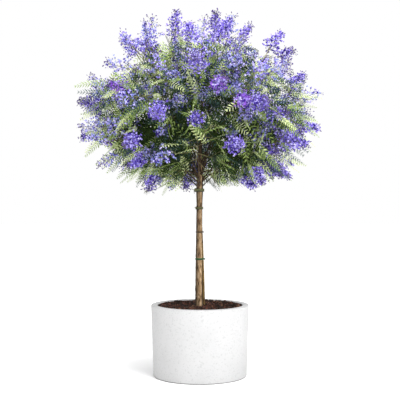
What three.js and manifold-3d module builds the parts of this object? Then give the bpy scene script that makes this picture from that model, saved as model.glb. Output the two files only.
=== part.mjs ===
// A jacaranda in bloom, grown as a small standard tree in a round white pot.
// Millimetres, +Z up. The origin is the centre of the pot's flat underside, and the front faces -Y.
import * as THREE from "three";
import { mergeVertices } from "three/addons/utils/BufferGeometryUtils.js";
import Module from "manifold-3d";

const wasm = await Module();
wasm.setup();

// Driving dimensions
const GAP = 0.3; // left between pieces that touch on the real tree
const POT = { height: 400, rimRadius: 277, footRadius: 264, wall: 37, floor: 32, edge: 7, segments: 40 };
const SOIL = { belowRim: 9, mound: 5, flatRadius: 70 };
const TRUNK = {
  flareRadius: 27,
  flareHeight: 25,
  toes: 5,
  baseRadius: 20.5,
  forkRadius: 15.5,
  forkHeight: 1070,
  tipRadius: 4,
  tipHeight: 1400,
  lean: -7,
  sides: 12,
  steps: 15,
};
const SIDE_STEM = {
  baseRadius: 8,
  tipRadius: 3,
  tipHeight: 925,
  baseGap: 2,
  meetHeight: 650,
  baseAngle: 25,
  tipAngle: 62,
  sides: 7,
  steps: 8,
};
// Soft ties round the trunk, from the lowest up
const TIES = [
  { height: 656, width: 9, thickness: 2.6, colour: 0x2f6b35, holdsStem: true },
  { height: 809, width: 6, thickness: 2.2, colour: 0x5a4326, holdsStem: true },
  { height: 945, width: 8, thickness: 2.4, colour: 0x3d4a24, holdsStem: false },
  { height: 1046, width: 11, thickness: 3, colour: 0x6d7350, holdsStem: false },
];
// The crown is an ellipsoid above its widest ring and flatter below it.
const CROWN = { centreHeight: 1485, halfWidth: 680, rise: 572, drop: 456, roundness: 2, flatness: 2.6 };
// Two kinds of foliage mass. Spread is the twigs' angle to the stem at its foot and at its tip.
const BLOOMING = { twigs: 5, twigLength: 145, leaves: 3, leafLength: 260, blooms: true, spread: [84, 42] };
const LEAFY = { twigs: 4, twigLength: 90, leaves: 3, leafLength: 210, blooms: false, spread: [84, 50] };
// Rings of masses, with elevation and phase in degrees as seen from the crown's centre. Attach is
// the height where a ring's limbs leave the trunk, every second one higher by stagger. Bare is the
// share of each limb that is bough, and the rest is the stem of its mass.
const TIERS = [
  { name: "under", kind: LEAFY, count: 6, elevation: -60, phase: 0, reach: 0.75,
    attach: 1110, stagger: 24, bare: 0 },
  { name: "inner", kind: LEAFY, count: 3, elevation: -4, phase: 30, reach: 0.5,
    attach: 1230, stagger: 60, bare: 0 },
  { name: "skirt", kind: BLOOMING, count: 6, elevation: -20, phase: 30, reach: 0.8,
    attach: 1052, stagger: 30, bare: 0.5 },
  { name: "belt", kind: BLOOMING, count: 6, elevation: 9, phase: 0, reach: 0.8,
    attach: 1085, stagger: 34, bare: 0.52 },
  { name: "shoulder", kind: BLOOMING, count: 6, elevation: 38, phase: 30, reach: 0.8,
    attach: 1140, stagger: 40, bare: 0.54 },
  { name: "top", kind: BLOOMING, count: 3, elevation: 70, phase: 75, reach: 0.8,
    attach: 1250, stagger: 50, bare: 0.5 },
];
const WANDER = 14; // degrees over which a limb's direction strays
const BOUGH = { radius: 7.5, tipRadius: 4, arch: 0.14, seat: 0.82, sides: 5, steps: 3 };
const STEM = { radius: 4, tipRadius: 2.6, sides: 4, steps: 3 };
const TWIG = { radius: 2.8, tipRadius: 2, shortest: 30, sides: 3, ease: [1, 0.75, 0.5] };
const LEAF = {
  slimness: 1.9,
  thickness: 3,
  droop: 0.14,
  widest: 1.25,
  aside: 1,
  fan: [0, -0.8, 0.8, -1.6, 1.6],
  ease: [1, 0.8, 0.62],
};
const PANICLE = {
  length: 150,
  radius: 54,
  lumps: 0.22,
  taper: 0.45,
  sunk: 0.25,
  around: 5,
  rows: 3,
  ease: [1, 0.85, 0.7],
};
const SPACE = { margin: 0.5, step: 8 }; // the gap to the next mass's space, and how finely it is felt out
const GOLDEN_ANGLE = Math.PI * (3 - Math.sqrt(5));

const potColour = new THREE.MeshStandardMaterial({ color: 0xeeeeec, roughness: 0.6 });
const soilColour = new THREE.MeshStandardMaterial({ color: 0x3b2a20, roughness: 1 });
const barkColour = new THREE.MeshStandardMaterial({ color: 0x7a5f45, roughness: 0.9 });
const leafColour = new THREE.MeshStandardMaterial({ color: 0x5c7a40, roughness: 0.7 });
const bloomColour = new THREE.MeshStandardMaterial({ color: 0x7563c4, roughness: 0.7 });

const radians = THREE.MathUtils.degToRad;
const lerp = THREE.MathUtils.lerp;
const groundHeight = POT.height - SOIL.belowRim;
const crownCentre = new THREE.Vector3(0, 0, CROWN.centreHeight);

// A geometry's vertices, merged where they are that near, and its faces that don't collapse.
function merged(geometry, nearness) {
  const bare = geometry.clone();
  bare.deleteAttribute("normal");
  bare.deleteAttribute("uv");
  const joined = mergeVertices(bare, nearness);
  const faces = [];
  for (let i = 0; i < joined.index.count; i += 3) {
    const [a, b, c] = joined.index.array.subarray(i, i + 3);
    if (a !== b && b !== c && c !== a) faces.push(a, b, c);
  }
  return { vertices: joined.attributes.position.array, faces };
}

// A closed geometry as a solid.
function solidOf(geometry) {
  const { vertices, faces } = merged(geometry, 1e-4);
  return new wasm.Manifold(
    new wasm.Mesh({ numProp: 3, vertProperties: vertices, triVerts: new Uint32Array(faces) }),
  );
}

// A solid as a geometry.
function geometryOf(solid) {
  const made = solid.getMesh();
  const geometry = new THREE.BufferGeometry();
  geometry.setAttribute("position", new THREE.BufferAttribute(new Float32Array(made.vertProperties), 3));
  return geometry.setIndex(new THREE.BufferAttribute(new Uint32Array(made.triVerts), 1));
}

// Whether a solid stays closed when the vertices that are that near are merged: each edge then
// still belongs to two faces.
function staysClosed(solid, nearness) {
  const { faces } = merged(geometryOf(solid), nearness);
  const uses = new Map();
  for (let i = 0; i < faces.length; i++) {
    const edge = [faces[i], faces[i % 3 === 2 ? i - 2 : i + 1]].sort((a, b) => a - b).join();
    uses.set(edge, (uses.get(edge) ?? 0) + 1);
  }
  return [...uses.values()].every((count) => count === 2);
}

// A solid without its smallest edges, as far as it stays closed without them.
function simplified(solid) {
  const tries = [0.25, 0.2, 0.15, 0.1, 0.05].map((tolerance) => solid.simplify(tolerance));
  const isSound = (simple) => [2e-3, 1e-3, 1e-4].every((nearness) => staysClosed(simple, nearness));
  return tries.find(isSound) ?? solid;
}

// A solid as a named mesh with flat faces.
function meshOf(name, solid, material) {
  const flat = geometryOf(solid).toNonIndexed();
  flat.computeVertexNormals();
  const mesh = new THREE.Mesh(flat, material);
  mesh.name = name;
  return mesh;
}

// The largest body of a solid, without its loose scraps.
function largest(solid) {
  return solid.decompose().sort((a, b) => b.volume() - a.volume())[0];
}

// Random numbers from 0 to 1 that are the same in every run.
function seeded(seed) {
  let state = Math.imul(seed + 1, 2654435761) >>> 0;
  return () => {
    state = (Math.imul(state, 1664525) + 1013904223) >>> 0;
    return state / 4294967296;
  };
}

// A profile of [radius, height] pairs turned about the Z axis.
function turned(profile, segments) {
  const points = profile.map(([r, z]) => new THREE.Vector2(r, z));
  return solidOf(new THREE.LatheGeometry(points, segments).rotateX(Math.PI / 2));
}

// A tapered tube along a curve: a cylinder whose rings are carried to points of the curve.
function limb(curve, radiusAt, sides, steps) {
  const geometry = new THREE.CylinderGeometry(1, 1, 1, sides, steps);
  const chord = curve.getPoint(1).sub(curve.getPoint(0));
  const upright = Math.hypot(chord.x, chord.y) < 0.05 * chord.length();
  const level = upright ? new THREE.Vector3(1, 0, 0) : new THREE.Vector3(-chord.y, chord.x, 0);
  const position = geometry.attributes.position;
  for (let i = 0; i < position.count; i++) {
    const along = position.getY(i) + 0.5;
    const angle = Math.atan2(position.getX(i), position.getZ(i));
    const radius = Math.hypot(position.getX(i), position.getZ(i)) * radiusAt(along, angle);
    const tangent = curve.getTangent(along);
    const one = level.clone().projectOnPlane(tangent).normalize();
    const two = new THREE.Vector3().crossVectors(tangent, one);
    const point = curve.getPoint(along);
    point.addScaledVector(one, Math.cos(angle) * radius).addScaledVector(two, Math.sin(angle) * radius);
    position.setXYZ(i, point.x, point.y, point.z);
  }
  return solidOf(geometry);
}

function pot() {
  const { height, rimRadius, footRadius, wall, floor, edge } = POT;
  const inner = rimRadius - wall;
  return turned(
    [
      [0, 0],
      [footRadius - edge, 0],
      [footRadius, edge],
      [rimRadius, height - edge],
      [rimRadius - 0.3 * edge, height - 0.3 * edge],
      [rimRadius - edge, height],
      [inner + edge, height],
      [inner, height - edge],
      [innerRadiusAt(floor), floor],
      [0, floor],
    ],
    POT.segments,
  );
}

// The radius of the pot's inside at a height. The wall keeps its thickness.
function innerRadiusAt(height) {
  return lerp(POT.footRadius, POT.rimRadius, height / POT.height) - POT.wall;
}

// The root ball and soil: they fill the pot, with the same facets.
function soil() {
  const edgeHeight = groundHeight - SOIL.mound;
  return turned(
    [
      [0, POT.floor + GAP],
      [innerRadiusAt(POT.floor) - GAP, POT.floor + GAP],
      [innerRadiusAt(edgeHeight) - GAP, edgeHeight],
      [lerp(SOIL.flatRadius, POT.rimRadius - POT.wall, 0.6), groundHeight - 0.4 * SOIL.mound],
      [SOIL.flatRadius, groundHeight],
      [0, groundHeight],
    ],
    POT.segments,
  );
}

// The trunk's axis at a height: a slight lean to the left that straightens at the fork.
function trunkAxis(height) {
  const share = (height - groundHeight) / (TRUNK.forkHeight - groundHeight);
  return new THREE.Vector3(TRUNK.lean * Math.cos((share * Math.PI) / 2.4), 3 * Math.sin(share * 3), height);
}

// The trunk's radius at a height, without its root flare. It thins quickly above the fork.
function trunkRadius(height) {
  const { baseRadius, forkRadius, forkHeight, tipRadius, tipHeight } = TRUNK;
  const below = (height - groundHeight) / (forkHeight - groundHeight);
  if (below < 1) return lerp(baseRadius, forkRadius, below);
  const above = Math.min(1, (height - forkHeight) / (tipHeight - forkHeight));
  return lerp(tipRadius, forkRadius, (1 - above) ** 1.6);
}

// The trunk, with its flat cut just clear of the soil. Grown makes it thicker all round.
function trunk(grown = 0) {
  const bottom = groundHeight - 10;
  const heights = Array.from({ length: 11 }, (_, i) => lerp(bottom, TRUNK.tipHeight, i / 10));
  const radiusAt = (along, angle) => {
    const height = lerp(bottom, TRUNK.tipHeight, along);
    const flare = Math.exp(-Math.max(height - groundHeight, 0) / TRUNK.flareHeight);
    const toe = 0.6 + 0.4 * Math.cos(TRUNK.toes * angle);
    return trunkRadius(height) + (TRUNK.flareRadius - TRUNK.baseRadius) * flare * toe + grown;
  };
  const made = limb(new THREE.CatmullRomCurve3(heights.map(trunkAxis)), radiusAt, TRUNK.sides, TRUNK.steps);
  return made.trimByPlane([0, 0, 1], groundHeight + GAP - grown);
}

// The side stem's axis and radius: it leans in to the trunk, then climbs beside it.
function sideStemAt(height) {
  const { baseRadius, tipRadius, tipHeight, baseGap, meetHeight, baseAngle, tipAngle } = SIDE_STEM;
  const share = Math.max(0, (height - groundHeight) / (tipHeight - groundHeight));
  const radius = lerp(baseRadius, tipRadius, share ** 1.6);
  const lean = Math.max(0, 1 - (height - groundHeight) / (meetHeight - groundHeight));
  const away = trunkRadius(height) + radius + 3 * GAP + baseGap * lean;
  const angle = radians(lerp(baseAngle, tipAngle, share ** 2));
  const out = new THREE.Vector3(Math.cos(angle), Math.sin(angle), 0);
  return { centre: trunkAxis(height).addScaledVector(out, away), radius };
}

function sideStem(grown = 0) {
  const bottom = groundHeight - 10;
  const heightAt = (share) => lerp(bottom, SIDE_STEM.tipHeight, share);
  const points = Array.from({ length: 13 }, (_, i) => sideStemAt(heightAt(i / 12)).centre);
  const radiusAt = (along) => sideStemAt(heightAt(along)).radius + grown;
  const stem = limb(new THREE.CatmullRomCurve3(points), radiusAt, SIDE_STEM.sides, SIDE_STEM.steps);
  return stem.trimByPlane([0, 0, 1], groundHeight + GAP - grown);
}

// The outline of a band drawn tight round one or two circles.
function bandOutline([a, b]) {
  const outline = new THREE.Shape();
  if (!b) return outline.absarc(a.centre.x, a.centre.y, a.radius, 0, 2 * Math.PI);
  const across = Math.atan2(b.centre.y - a.centre.y, b.centre.x - a.centre.x);
  const apart = Math.hypot(b.centre.x - a.centre.x, b.centre.y - a.centre.y);
  const open = Math.acos((a.radius - b.radius) / apart);
  outline.absarc(b.centre.x, b.centre.y, b.radius, across - open, across + open);
  return outline.absarc(a.centre.x, a.centre.y, a.radius, across + open, across - open + 2 * Math.PI);
}

// A tie: a flat band wrapped round the trunk, with a knot at its right side. Its hole is the shape
// of what it holds, grown by the gap.
function tie({ height, width, thickness, holdsStem }) {
  const circles = [{ centre: trunkAxis(height), radius: trunkRadius(height) }];
  if (holdsStem) circles.push(sideStemAt(height));
  const clear = 2 * GAP + thickness;
  const shape = bandOutline(circles.map(({ centre, radius }) => ({ centre, radius: radius + clear })));
  const disc = new THREE.ExtrudeGeometry(shape, { depth: width, bevelEnabled: false, curveSegments: 6 });
  const last = circles.at(-1);
  const knot = new THREE.SphereGeometry(0.62 * width, 5, 3);
  knot.translate(last.centre.x + last.radius + clear, last.centre.y, height);
  const band = solidOf(disc.translate(0, 0, height - width / 2)).add(solidOf(knot));
  return largest(band.subtract(trunk(GAP)).subtract(sideStem(GAP))).simplify(GAP / 3);
}

// Whether a point lies in the crown.
function inCrown(point) {
  const up = point.z - CROWN.centreHeight;
  const power = up > 0 ? CROWN.roundness : CROWN.flatness;
  const across = Math.hypot(point.x, point.y) / CROWN.halfWidth;
  return across ** power + Math.abs(up / (up > 0 ? CROWN.rise : CROWN.drop)) ** power < 1;
}

// The distance from the crown's centre to its outside, along a direction.
function crownReach(direction) {
  const power = direction.z > 0 ? CROWN.roundness : CROWN.flatness;
  const across = Math.hypot(direction.x, direction.y) / CROWN.halfWidth;
  const upright = Math.abs(direction.z) / (direction.z > 0 ? CROWN.rise : CROWN.drop);
  return (across ** power + upright ** power) ** (-1 / power);
}

// The limb that carries a mass: it leaves the trunk, arches out and ends near the crown's outside.
function limbCurve(tier, place, index) {
  const random = seeded(1000 + index);
  const azimuth = radians(tier.phase + (360 * place) / tier.count + WANDER * (random() - 0.5));
  const elevation = radians(tier.elevation + WANDER * (random() - 0.5));
  const level = Math.cos(elevation);
  const direction = new THREE.Vector3(level * Math.cos(azimuth), level * Math.sin(azimuth), 0);
  direction.z = Math.sin(elevation);
  const start = trunkAxis(tier.attach + (place % 2) * tier.stagger);
  const end = crownCentre.clone().addScaledVector(direction, tier.reach * crownReach(direction));
  const bend = start.clone().lerp(end, 0.4);
  bend.z += BOUGH.arch * start.distanceTo(end);
  return new THREE.QuadraticBezierCurve3(start, bend, end);
}

// The stretch of a limb's curve between two shares of it.
function stretch(curve, from, to) {
  const one = curve.v0.clone().lerp(curve.v1, from);
  const two = curve.v1.clone().lerp(curve.v2, from);
  return new THREE.QuadraticBezierCurve3(curve.getPoint(from), one.lerp(two, to), curve.getPoint(to));
}

const masses = TIERS.flatMap((tier) => Array.from({ length: tier.count }, (_, place) => ({ tier, place })));
masses.forEach((mass, index) => {
  mass.curve = limbCurve(mass.tier, mass.place, index);
  mass.seat = mass.curve.getPoint(BOUGH.seat);
  mass.stem = stemOf(mass, GAP);
  mass.name = `${mass.tier.name}_${mass.place + 1}`;
});

// Whether a point lies in a mass's space: the part of the crown nearer to its seat than to others.
function inSpace(index, point) {
  if (!inCrown(point)) return false;
  const { seat } = masses[index];
  return masses.every((other) => {
    if (other === masses[index]) return true;
    const apart = other.seat.clone().sub(seat);
    const past = point.clone().sub(seat).dot(apart) / apart.length();
    return past < apart.length() / 2 - SPACE.margin;
  });
}

// How far one can go from a point in a direction within a mass's space.
function roomIn(index, point, direction, most) {
  const isFree = (room) => inSpace(index, point.clone().addScaledVector(direction, room));
  let room = 0;
  while (room < most && isFree(room + SPACE.step)) room += SPACE.step;
  return Math.min(room, most);
}

function fitsIn(index, geometry) {
  const position = geometry.attributes.position;
  for (let i = 0; i < position.count; i++) {
    if (!inSpace(index, new THREE.Vector3().fromBufferAttribute(position, i))) return false;
  }
  return true;
}

function bough({ tier, curve }, grown = 0) {
  const radiusAt = (along) => lerp(BOUGH.radius, BOUGH.tipRadius, along) + grown;
  return limb(stretch(curve, 0, tier.bare), radiusAt, BOUGH.sides, BOUGH.steps);
}

function stemOf({ tier, curve }, grown = 0) {
  const radiusAt = (along) => lerp(STEM.radius, STEM.tipRadius, along) + grown;
  return limb(stretch(curve, tier.bare, 1), radiusAt, STEM.sides, STEM.steps);
}

// A vector square to an axis, turned about it by an angle.
function sideways(axis, angle) {
  const flat = Math.abs(axis.z) > 0.95 ? new THREE.Vector3(1, 0, 0) : new THREE.Vector3(0, 0, 1);
  return new THREE.Vector3().crossVectors(axis, flat).normalize().applyAxisAngle(axis, angle);
}

// Carries a geometry made along +X, with +Z as its upper side, to a point and a direction.
function aimed(geometry, point, direction, upward) {
  const across = new THREE.Vector3().crossVectors(upward, direction).normalize();
  const normal = new THREE.Vector3().crossVectors(direction, across);
  return geometry.applyMatrix4(new THREE.Matrix4().makeBasis(direction, across, normal).setPosition(point));
}

// A leaf: a thin drooping blade of eight faces. Each stands for a feathery spray.
function leafGeometry(length) {
  const blade = new THREE.SphereGeometry(1, 4, 2).rotateX(Math.PI / 2);
  const position = blade.attributes.position;
  for (let i = 0; i < position.count; i++) {
    const out = ((position.getX(i) + 1) / 2) ** LEAF.widest;
    const across = (position.getY(i) * length) / LEAF.slimness / 2;
    const up = (position.getZ(i) * LEAF.thickness) / 2 - LEAF.droop * length * out * out;
    position.setXYZ(i, length * out, across, up);
  }
  return blade;
}

// A panicle: a lumpy spindle of blossom, widest near its foot.
function panicleGeometry(length, random) {
  const spindle = new THREE.SphereGeometry(1, PANICLE.around, PANICLE.rows).rotateZ(-Math.PI / 2);
  const position = spindle.attributes.position;
  const lumps = new Map();
  for (let i = 0; i < position.count; i++) {
    const point = new THREE.Vector3().fromBufferAttribute(position, i);
    const key = point.toArray().map((n) => Math.round(1000 * n)).join();
    if (!lumps.has(key)) lumps.set(key, 1 + PANICLE.lumps * (2 * random() - 1));
    const along = (point.x + 1) / 2;
    const fullness = lumps.get(key) * (1.2 - PANICLE.taper * along);
    const width = (PANICLE.radius * length * fullness) / PANICLE.length;
    position.setXYZ(i, length * along, point.y * width, point.z * width);
  }
  return spindle;
}

// The directions that a twig may take, from the one that it should take to steeper ones.
function twigAims(axis, side, spread) {
  return TWIG.ease.map((ease) => {
    const angle = spread * ease;
    return axis.clone().multiplyScalar(Math.cos(angle)).addScaledVector(side, Math.sin(angle));
  });
}

// The directions that a leaf may take, fanned to either side of the one that it should take.
function leafAims(direction, angle) {
  return LEAF.fan.map((turn) => {
    const side = sideways(direction, angle + turn);
    return direction.clone().addScaledVector(side, LEAF.aside).normalize();
  });
}

// One mass: twigs that branch from a stem, with leaves along them and a panicle at each tip. Each
// takes the first of a few directions and sizes that keeps it in the mass's space and clear of the
// limbs and of the mass's other leaves and panicles, and is skipped where there is none.
function massSolid(mass, index, limbs) {
  const random = seeded(index);
  const { kind, bare } = mass.tier;
  const stem = stretch(mass.curve, bare, 1);
  const pieces = [largest(stemOf(mass).subtract(limbs))];
  const others = masses.filter((other) => other !== mass).map((other) => other.stem);
  const isClear = (solid) => [limbs, ...others].every((limb) => limb.intersect(solid).isEmpty());
  const sprays = [];
  const addFirst = (geometries) => {
    for (const geometry of geometries.filter((each) => fitsIn(index, each))) {
      const solid = solidOf(geometry);
      if (!isClear(solid) || sprays.some((spray) => !spray.intersect(solid).isEmpty())) continue;
      sprays.push(solid);
      return;
    }
  };
  for (let i = 0; i <= kind.twigs; i++) {
    const share = (i + 0.6) / (kind.twigs + 0.6);
    const from = stem.getPoint(Math.min(share, 0.98));
    const axis = stem.getTangent(share);
    const spread = i < kind.twigs ? radians(lerp(...kind.spread, share)) : 0;
    const side = sideways(axis, i * GOLDEN_ANGLE + random());
    const panicle = kind.blooms ? PANICLE.length * lerp(0.8, 1.1, random()) : 0;
    const wanted = kind.twigLength * lerp(0.8, 1.15, random());
    const turns = Array.from({ length: kind.leaves }, random);
    const sizes = Array.from({ length: kind.leaves }, () => lerp(0.85, 1.1, random()));
    const kept = (1 - PANICLE.sunk) * panicle;
    const roomAlong = (aim) => roomIn(index, from, aim, wanted + kept) - kept;
    const direction = twigAims(axis, side, spread).find((aim) => roomAlong(aim) > TWIG.shortest);
    if (!direction) continue;
    const tip = from.clone().addScaledVector(direction, roomAlong(direction));
    const twig = new THREE.LineCurve3(from, tip);
    const solid = limb(twig, (along) => lerp(TWIG.radius, TWIG.tipRadius, along), TWIG.sides, 1);
    if (!isClear(solid)) continue;
    pieces.push(solid);
    if (kind.blooms) {
      const out = tip.clone().sub(crownCentre).normalize().add(direction).normalize();
      const foot = tip.clone().addScaledVector(out, -PANICLE.sunk * panicle);
      const spindle = (length) => panicleGeometry(length, seeded(100 * index + i));
      addFirst(PANICLE.ease.map((ease) => aimed(spindle(ease * panicle), foot, out, sideways(out, 0))));
    }
    for (let j = 0; j < kind.leaves; j++) {
      const root = twig.getPoint((j + 0.6) / (kind.leaves + 0.5));
      const upward = root.clone().sub(crownCentre).normalize().add(new THREE.Vector3(0, 0, 1)).normalize();
      const aims = leafAims(direction, j * Math.PI + i * GOLDEN_ANGLE + 1.5 * turns[j]);
      const lengths = LEAF.ease.map((ease) => ease * sizes[j] * kind.leafLength);
      const leaf = (length) => aims.map((aim) => aimed(leafGeometry(length), root, aim, upward));
      addFirst(lengths.flatMap(leaf));
    }
  }
  return simplified(largest(wasm.Manifold.union([...pieces, ...sprays])));
}

const tree = new THREE.Group();
tree.add(meshOf("pot", pot(), potColour));
tree.add(meshOf("soil", soil(), soilColour));
tree.add(meshOf("trunk", trunk(), barkColour));
tree.add(meshOf("side_stem", sideStem(), barkColour));
TIES.forEach((size, i) => {
  const colour = new THREE.MeshStandardMaterial({ color: size.colour, roughness: 0.8 });
  tree.add(meshOf(`tie_${i + 1}`, tie(size), colour));
});

// Each bough is cut clear of the trunk and of the boughs before it.
let limbs = trunk(GAP);
for (const mass of masses) {
  if (mass.tier.bare === 0) continue;
  tree.add(meshOf(`bough_${mass.name}`, largest(bough(mass).subtract(limbs)).simplify(GAP / 3), barkColour));
  limbs = limbs.add(bough(mass, GAP));
}
masses.forEach((mass, index) => {
  const colour = mass.tier.kind.blooms ? bloomColour : leafColour;
  tree.add(meshOf(`mass_${mass.name}`, massSolid(mass, index, limbs), colour));
});

export default tree;
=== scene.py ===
"""The looks of a potted jacaranda in bloom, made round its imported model.

The planter, soil, bark and ties take the place of plain solids. The crown grows by the same seeded
rule as the solids did, and is carried on to finer shoots, feathery leaves and panicles of florets.
Metres, +Z up, the front faces -Y.
"""

import math
from typing import NamedTuple

import bmesh
import bpy
import numpy as np
from bpy.props import FloatProperty, FloatVectorProperty, IntProperty, PointerProperty
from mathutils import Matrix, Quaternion, Vector, noise


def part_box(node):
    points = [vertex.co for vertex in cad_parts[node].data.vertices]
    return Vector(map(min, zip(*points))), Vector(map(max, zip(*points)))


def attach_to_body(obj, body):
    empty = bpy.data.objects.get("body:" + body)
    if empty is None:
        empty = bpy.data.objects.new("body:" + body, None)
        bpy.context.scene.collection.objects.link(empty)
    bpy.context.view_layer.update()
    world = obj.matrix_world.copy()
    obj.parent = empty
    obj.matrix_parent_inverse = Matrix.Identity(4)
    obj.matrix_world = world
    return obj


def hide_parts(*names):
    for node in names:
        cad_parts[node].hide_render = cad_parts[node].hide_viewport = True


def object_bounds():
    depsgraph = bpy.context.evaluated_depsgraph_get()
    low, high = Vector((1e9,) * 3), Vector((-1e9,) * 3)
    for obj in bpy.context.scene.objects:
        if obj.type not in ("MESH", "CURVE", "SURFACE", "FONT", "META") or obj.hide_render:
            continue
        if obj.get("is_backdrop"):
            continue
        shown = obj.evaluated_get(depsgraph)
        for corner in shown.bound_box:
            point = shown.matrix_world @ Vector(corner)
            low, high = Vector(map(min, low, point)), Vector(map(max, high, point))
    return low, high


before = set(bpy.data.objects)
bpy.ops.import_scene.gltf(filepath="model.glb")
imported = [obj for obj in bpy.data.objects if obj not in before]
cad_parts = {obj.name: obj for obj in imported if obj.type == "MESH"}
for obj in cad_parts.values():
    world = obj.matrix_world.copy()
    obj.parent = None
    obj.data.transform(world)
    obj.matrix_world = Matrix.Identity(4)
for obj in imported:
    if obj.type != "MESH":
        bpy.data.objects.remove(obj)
cad_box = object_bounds()

bl_info = {
    "name": "Potted Jacaranda",
    "version": (1, 0, 0),
    "blender": (4, 5, 0),
    "location": "3D View > Sidebar > Jacaranda",
    "description": "Grows a small jacaranda in bloom in a round planter",
    "category": "Object",
}

WHITE = (1, 1, 1)
BLACK = (0, 0, 0)
UPRIGHT = np.array([0, 0, 1.0])

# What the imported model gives
POT_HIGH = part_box("pot")[1]
SOIL_LOW, SOIL_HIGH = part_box("soil")
TRUNK_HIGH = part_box("trunk")[1]
SIDE_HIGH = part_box("side_stem")[1]
GROUND = SOIL_HIGH.z
MASS_NODES = sorted(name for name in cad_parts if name.startswith("mass_"))
BOUGH_NODES = sorted(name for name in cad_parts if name.startswith("bough_"))

# The planter's hidden inside and the soil in it
POT_FLOOR = 0.03
WALL_BELOW_SOIL = 0.08
INSIDE_TAPER = 0.2  # of the outside's
SOIL_GAP = 0.0008
SOIL_TAPER = 0.016
SOIL_RINGS = 46
SOIL_EDGE = 0.0055  # how far under its top the soil's side ends
SOIL_FADE = 0.004  # how far from the wall its lumps start to die away
SOIL_ROUND_TRUNK = (0.02, 0.05)  # from where it is smooth to where it has its full lumps
CHIP_SPREAD = (0.012, 0.93)  # shares of the soil's area, from its middle out
CHIP_SIZES = (0.5, 1.2)
CHIP_SHAPE = (1.2, 0.75, 0.4)
CHIP_SUNK = (-0.003, 0.002)
CHIP_TILT = 0.35

# The trunk and the side stem, by the rule that the solids follow
FORK = 1.07
TRUNK_RADII = {"base": 0.0205, "fork": 0.0155, "tip": 0.004, "flare": 0.0065}
FLARE_HEIGHT = 0.025
FLARE_DEPTH = 0.006  # how far the bark goes on into the soil
TOES = 5
COLLAR = {"swell": 0.0012, "half": 0.018}
LEAN = -0.007
SWAY = 0.003
NECK = {"height": 1.035, "swell": 0.003, "half": 0.045}
AXIS_TILT = 0.0075  # the lean again, as the bark's shading follows it
AXIS_SHIFT = 0.0099
SIDE_RADII = {"base": 0.008, "tip": 0.003}
SIDE_GAP = {"base": 0.0029, "meet": 0.0009}
SIDE_MEETS = 0.65
SIDE_ANGLES = (math.radians(25), math.radians(62))

# The crown, by the rule that the solids follow
CENTRE = np.array([0, 0, 1.485])
CROWN = {"half_width": 0.68, "rise": 0.572, "drop": 0.456, "roundness": 2.0, "flatness": 2.6}
LIMB_SEED = 1000
WANDER = math.radians(14)
BEND_AT = 0.4
ARCH = 0.14
SEAT = 0.82
SPACE_MARGIN = 0.0005
SPACE_STEP = 0.008
TWIG_GAP = 0.6  # of a twig's share of the limb, before the first one
TWIG_SIZES = (0.8, 1.15)
TWIG_EASE = (1, 0.75, 0.5)
TWIG_STEPS = np.linspace(0.25, 1, 5)[:, None]
SHORTEST_TWIG = 0.03
LIMB_CLEARANCE = {"radius": 0.008, "gap": 0.004}
PANICLE_LENGTH = 0.15
PANICLE_SIZES = (0.8, 1.1)
PANICLE_SUNK = 0.25
LEAF_SIZES = (0.85, 1.1)
LEAF_FAN = (0, -0.8, 0.8, -1.6, 1.6)
LEAF_EASE = (1, 0.8, 0.62)
LEAF_DROOP = 0.14
WAY_STEPS = np.array([[0.3], [0.6], [1.0]])  # where along a leaf or twig its way is checked
GOLDEN_ANGLE = math.pi * (3 - math.sqrt(5))

# The boughs and twigs
BOUGH_SEED = 300
VIGOUR = (0.5, 1.4)
LEAFY_LIMB = 0.42  # of a bough's radius, for the limbs that are all hidden in leaves
BOUGH_TIP = 0.0016
BOUGH_COLLAR = {"swell": 0.0035, "full_to": 0.014, "fade": 0.012}
TWIG_RADIUS = 0.0026
SHOOT_RADIUS = 0.0015
TWIG_TAPER = 0.55
TWIG_SAG = 0.03

# The finer growth. Pairs in brackets are the least and the most.
SPRAY_FAN = ((0.0, 0.95), (-0.5, 0.75), (0.5, 0.75))  # turn and share of the blade's length
SPRAY_STRAY = {"turn": 0.15, "root": 0.02}
SPRAY_SIZES = (0.8, 1.0)
SPRAY_LENGTHS = (0.6, 0.88)  # of the blade's, on the upper and on the lower side
ROLL = (math.radians(25), math.radians(85))
LOW_LEAF = 1.7  # how many times longer leaves are on the lower side
LOW_SPREAD = 0.35  # how far they lean away from their twig there
SHOOT_SPAN = (0.1, 0.92)  # where on their twig shoots start
SHOOT_LENGTH = (0.05, 0.11)
SHOOT_LEAN = (0.6, 1.15)
SHOOT_DEPTH = 0.95
SHOOT_LEAF = (0.08, 0.13)
SHOOT_BLOOM = (0.08, 0.12)
FILLS = ((0.86, 100), (0.8, 150), (0.64, 160), (0.44, 120), (0.26, 50))  # depth and twigs
FILL_STRAY = 0.1
FILL_DEPTH = (0.94, 1.03)
FILL_STEP = 0.08  # how much deeper than its tip a filling twig starts
FILL_LONGEST = 0.4
FILL_LEAF = (0.09, 0.14)
FILL_LEAF_SPAN = (0.45, 0.95)
FILL_BLOOM = (0.1, 0.145)
FRINGE_HEIGHTS = (-0.8, 0.15)
FRINGE_FRONT = 0.62  # half of the front that has none, as a sine
FRINGE_LENGTH = (0.17, 0.23)
FRINGE_DEPTH = (1.0, 1.08)
FRINGE_REACH = (0.12, 0.26)
FRINGE_HANG = 0.35
FRINGE_DROOP = 0.15
FRINGE_ROLL = (math.radians(45), math.radians(78))
FRINGE_LOW = np.array([-0.68, -0.64, 0])
FRINGE_HIGH = np.array([0.66, 0.625, 2])
WIDEST = np.array([0.688, 0.666])  # how far tips may reach along X and Y
TALLEST = 2.015  # how high a panicle's tip may stand
OPENING = {"middle": -0.005, "half_width": 0.075, "straight_to": 1.17, "closing": 0.5, "back": 0.05}
UNDER = {"top": 1.28, "half_width": 0.36}
BLOOM_HEIGHTS = (-0.8, -0.2, 0.1, 0.5, 1.0)
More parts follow.
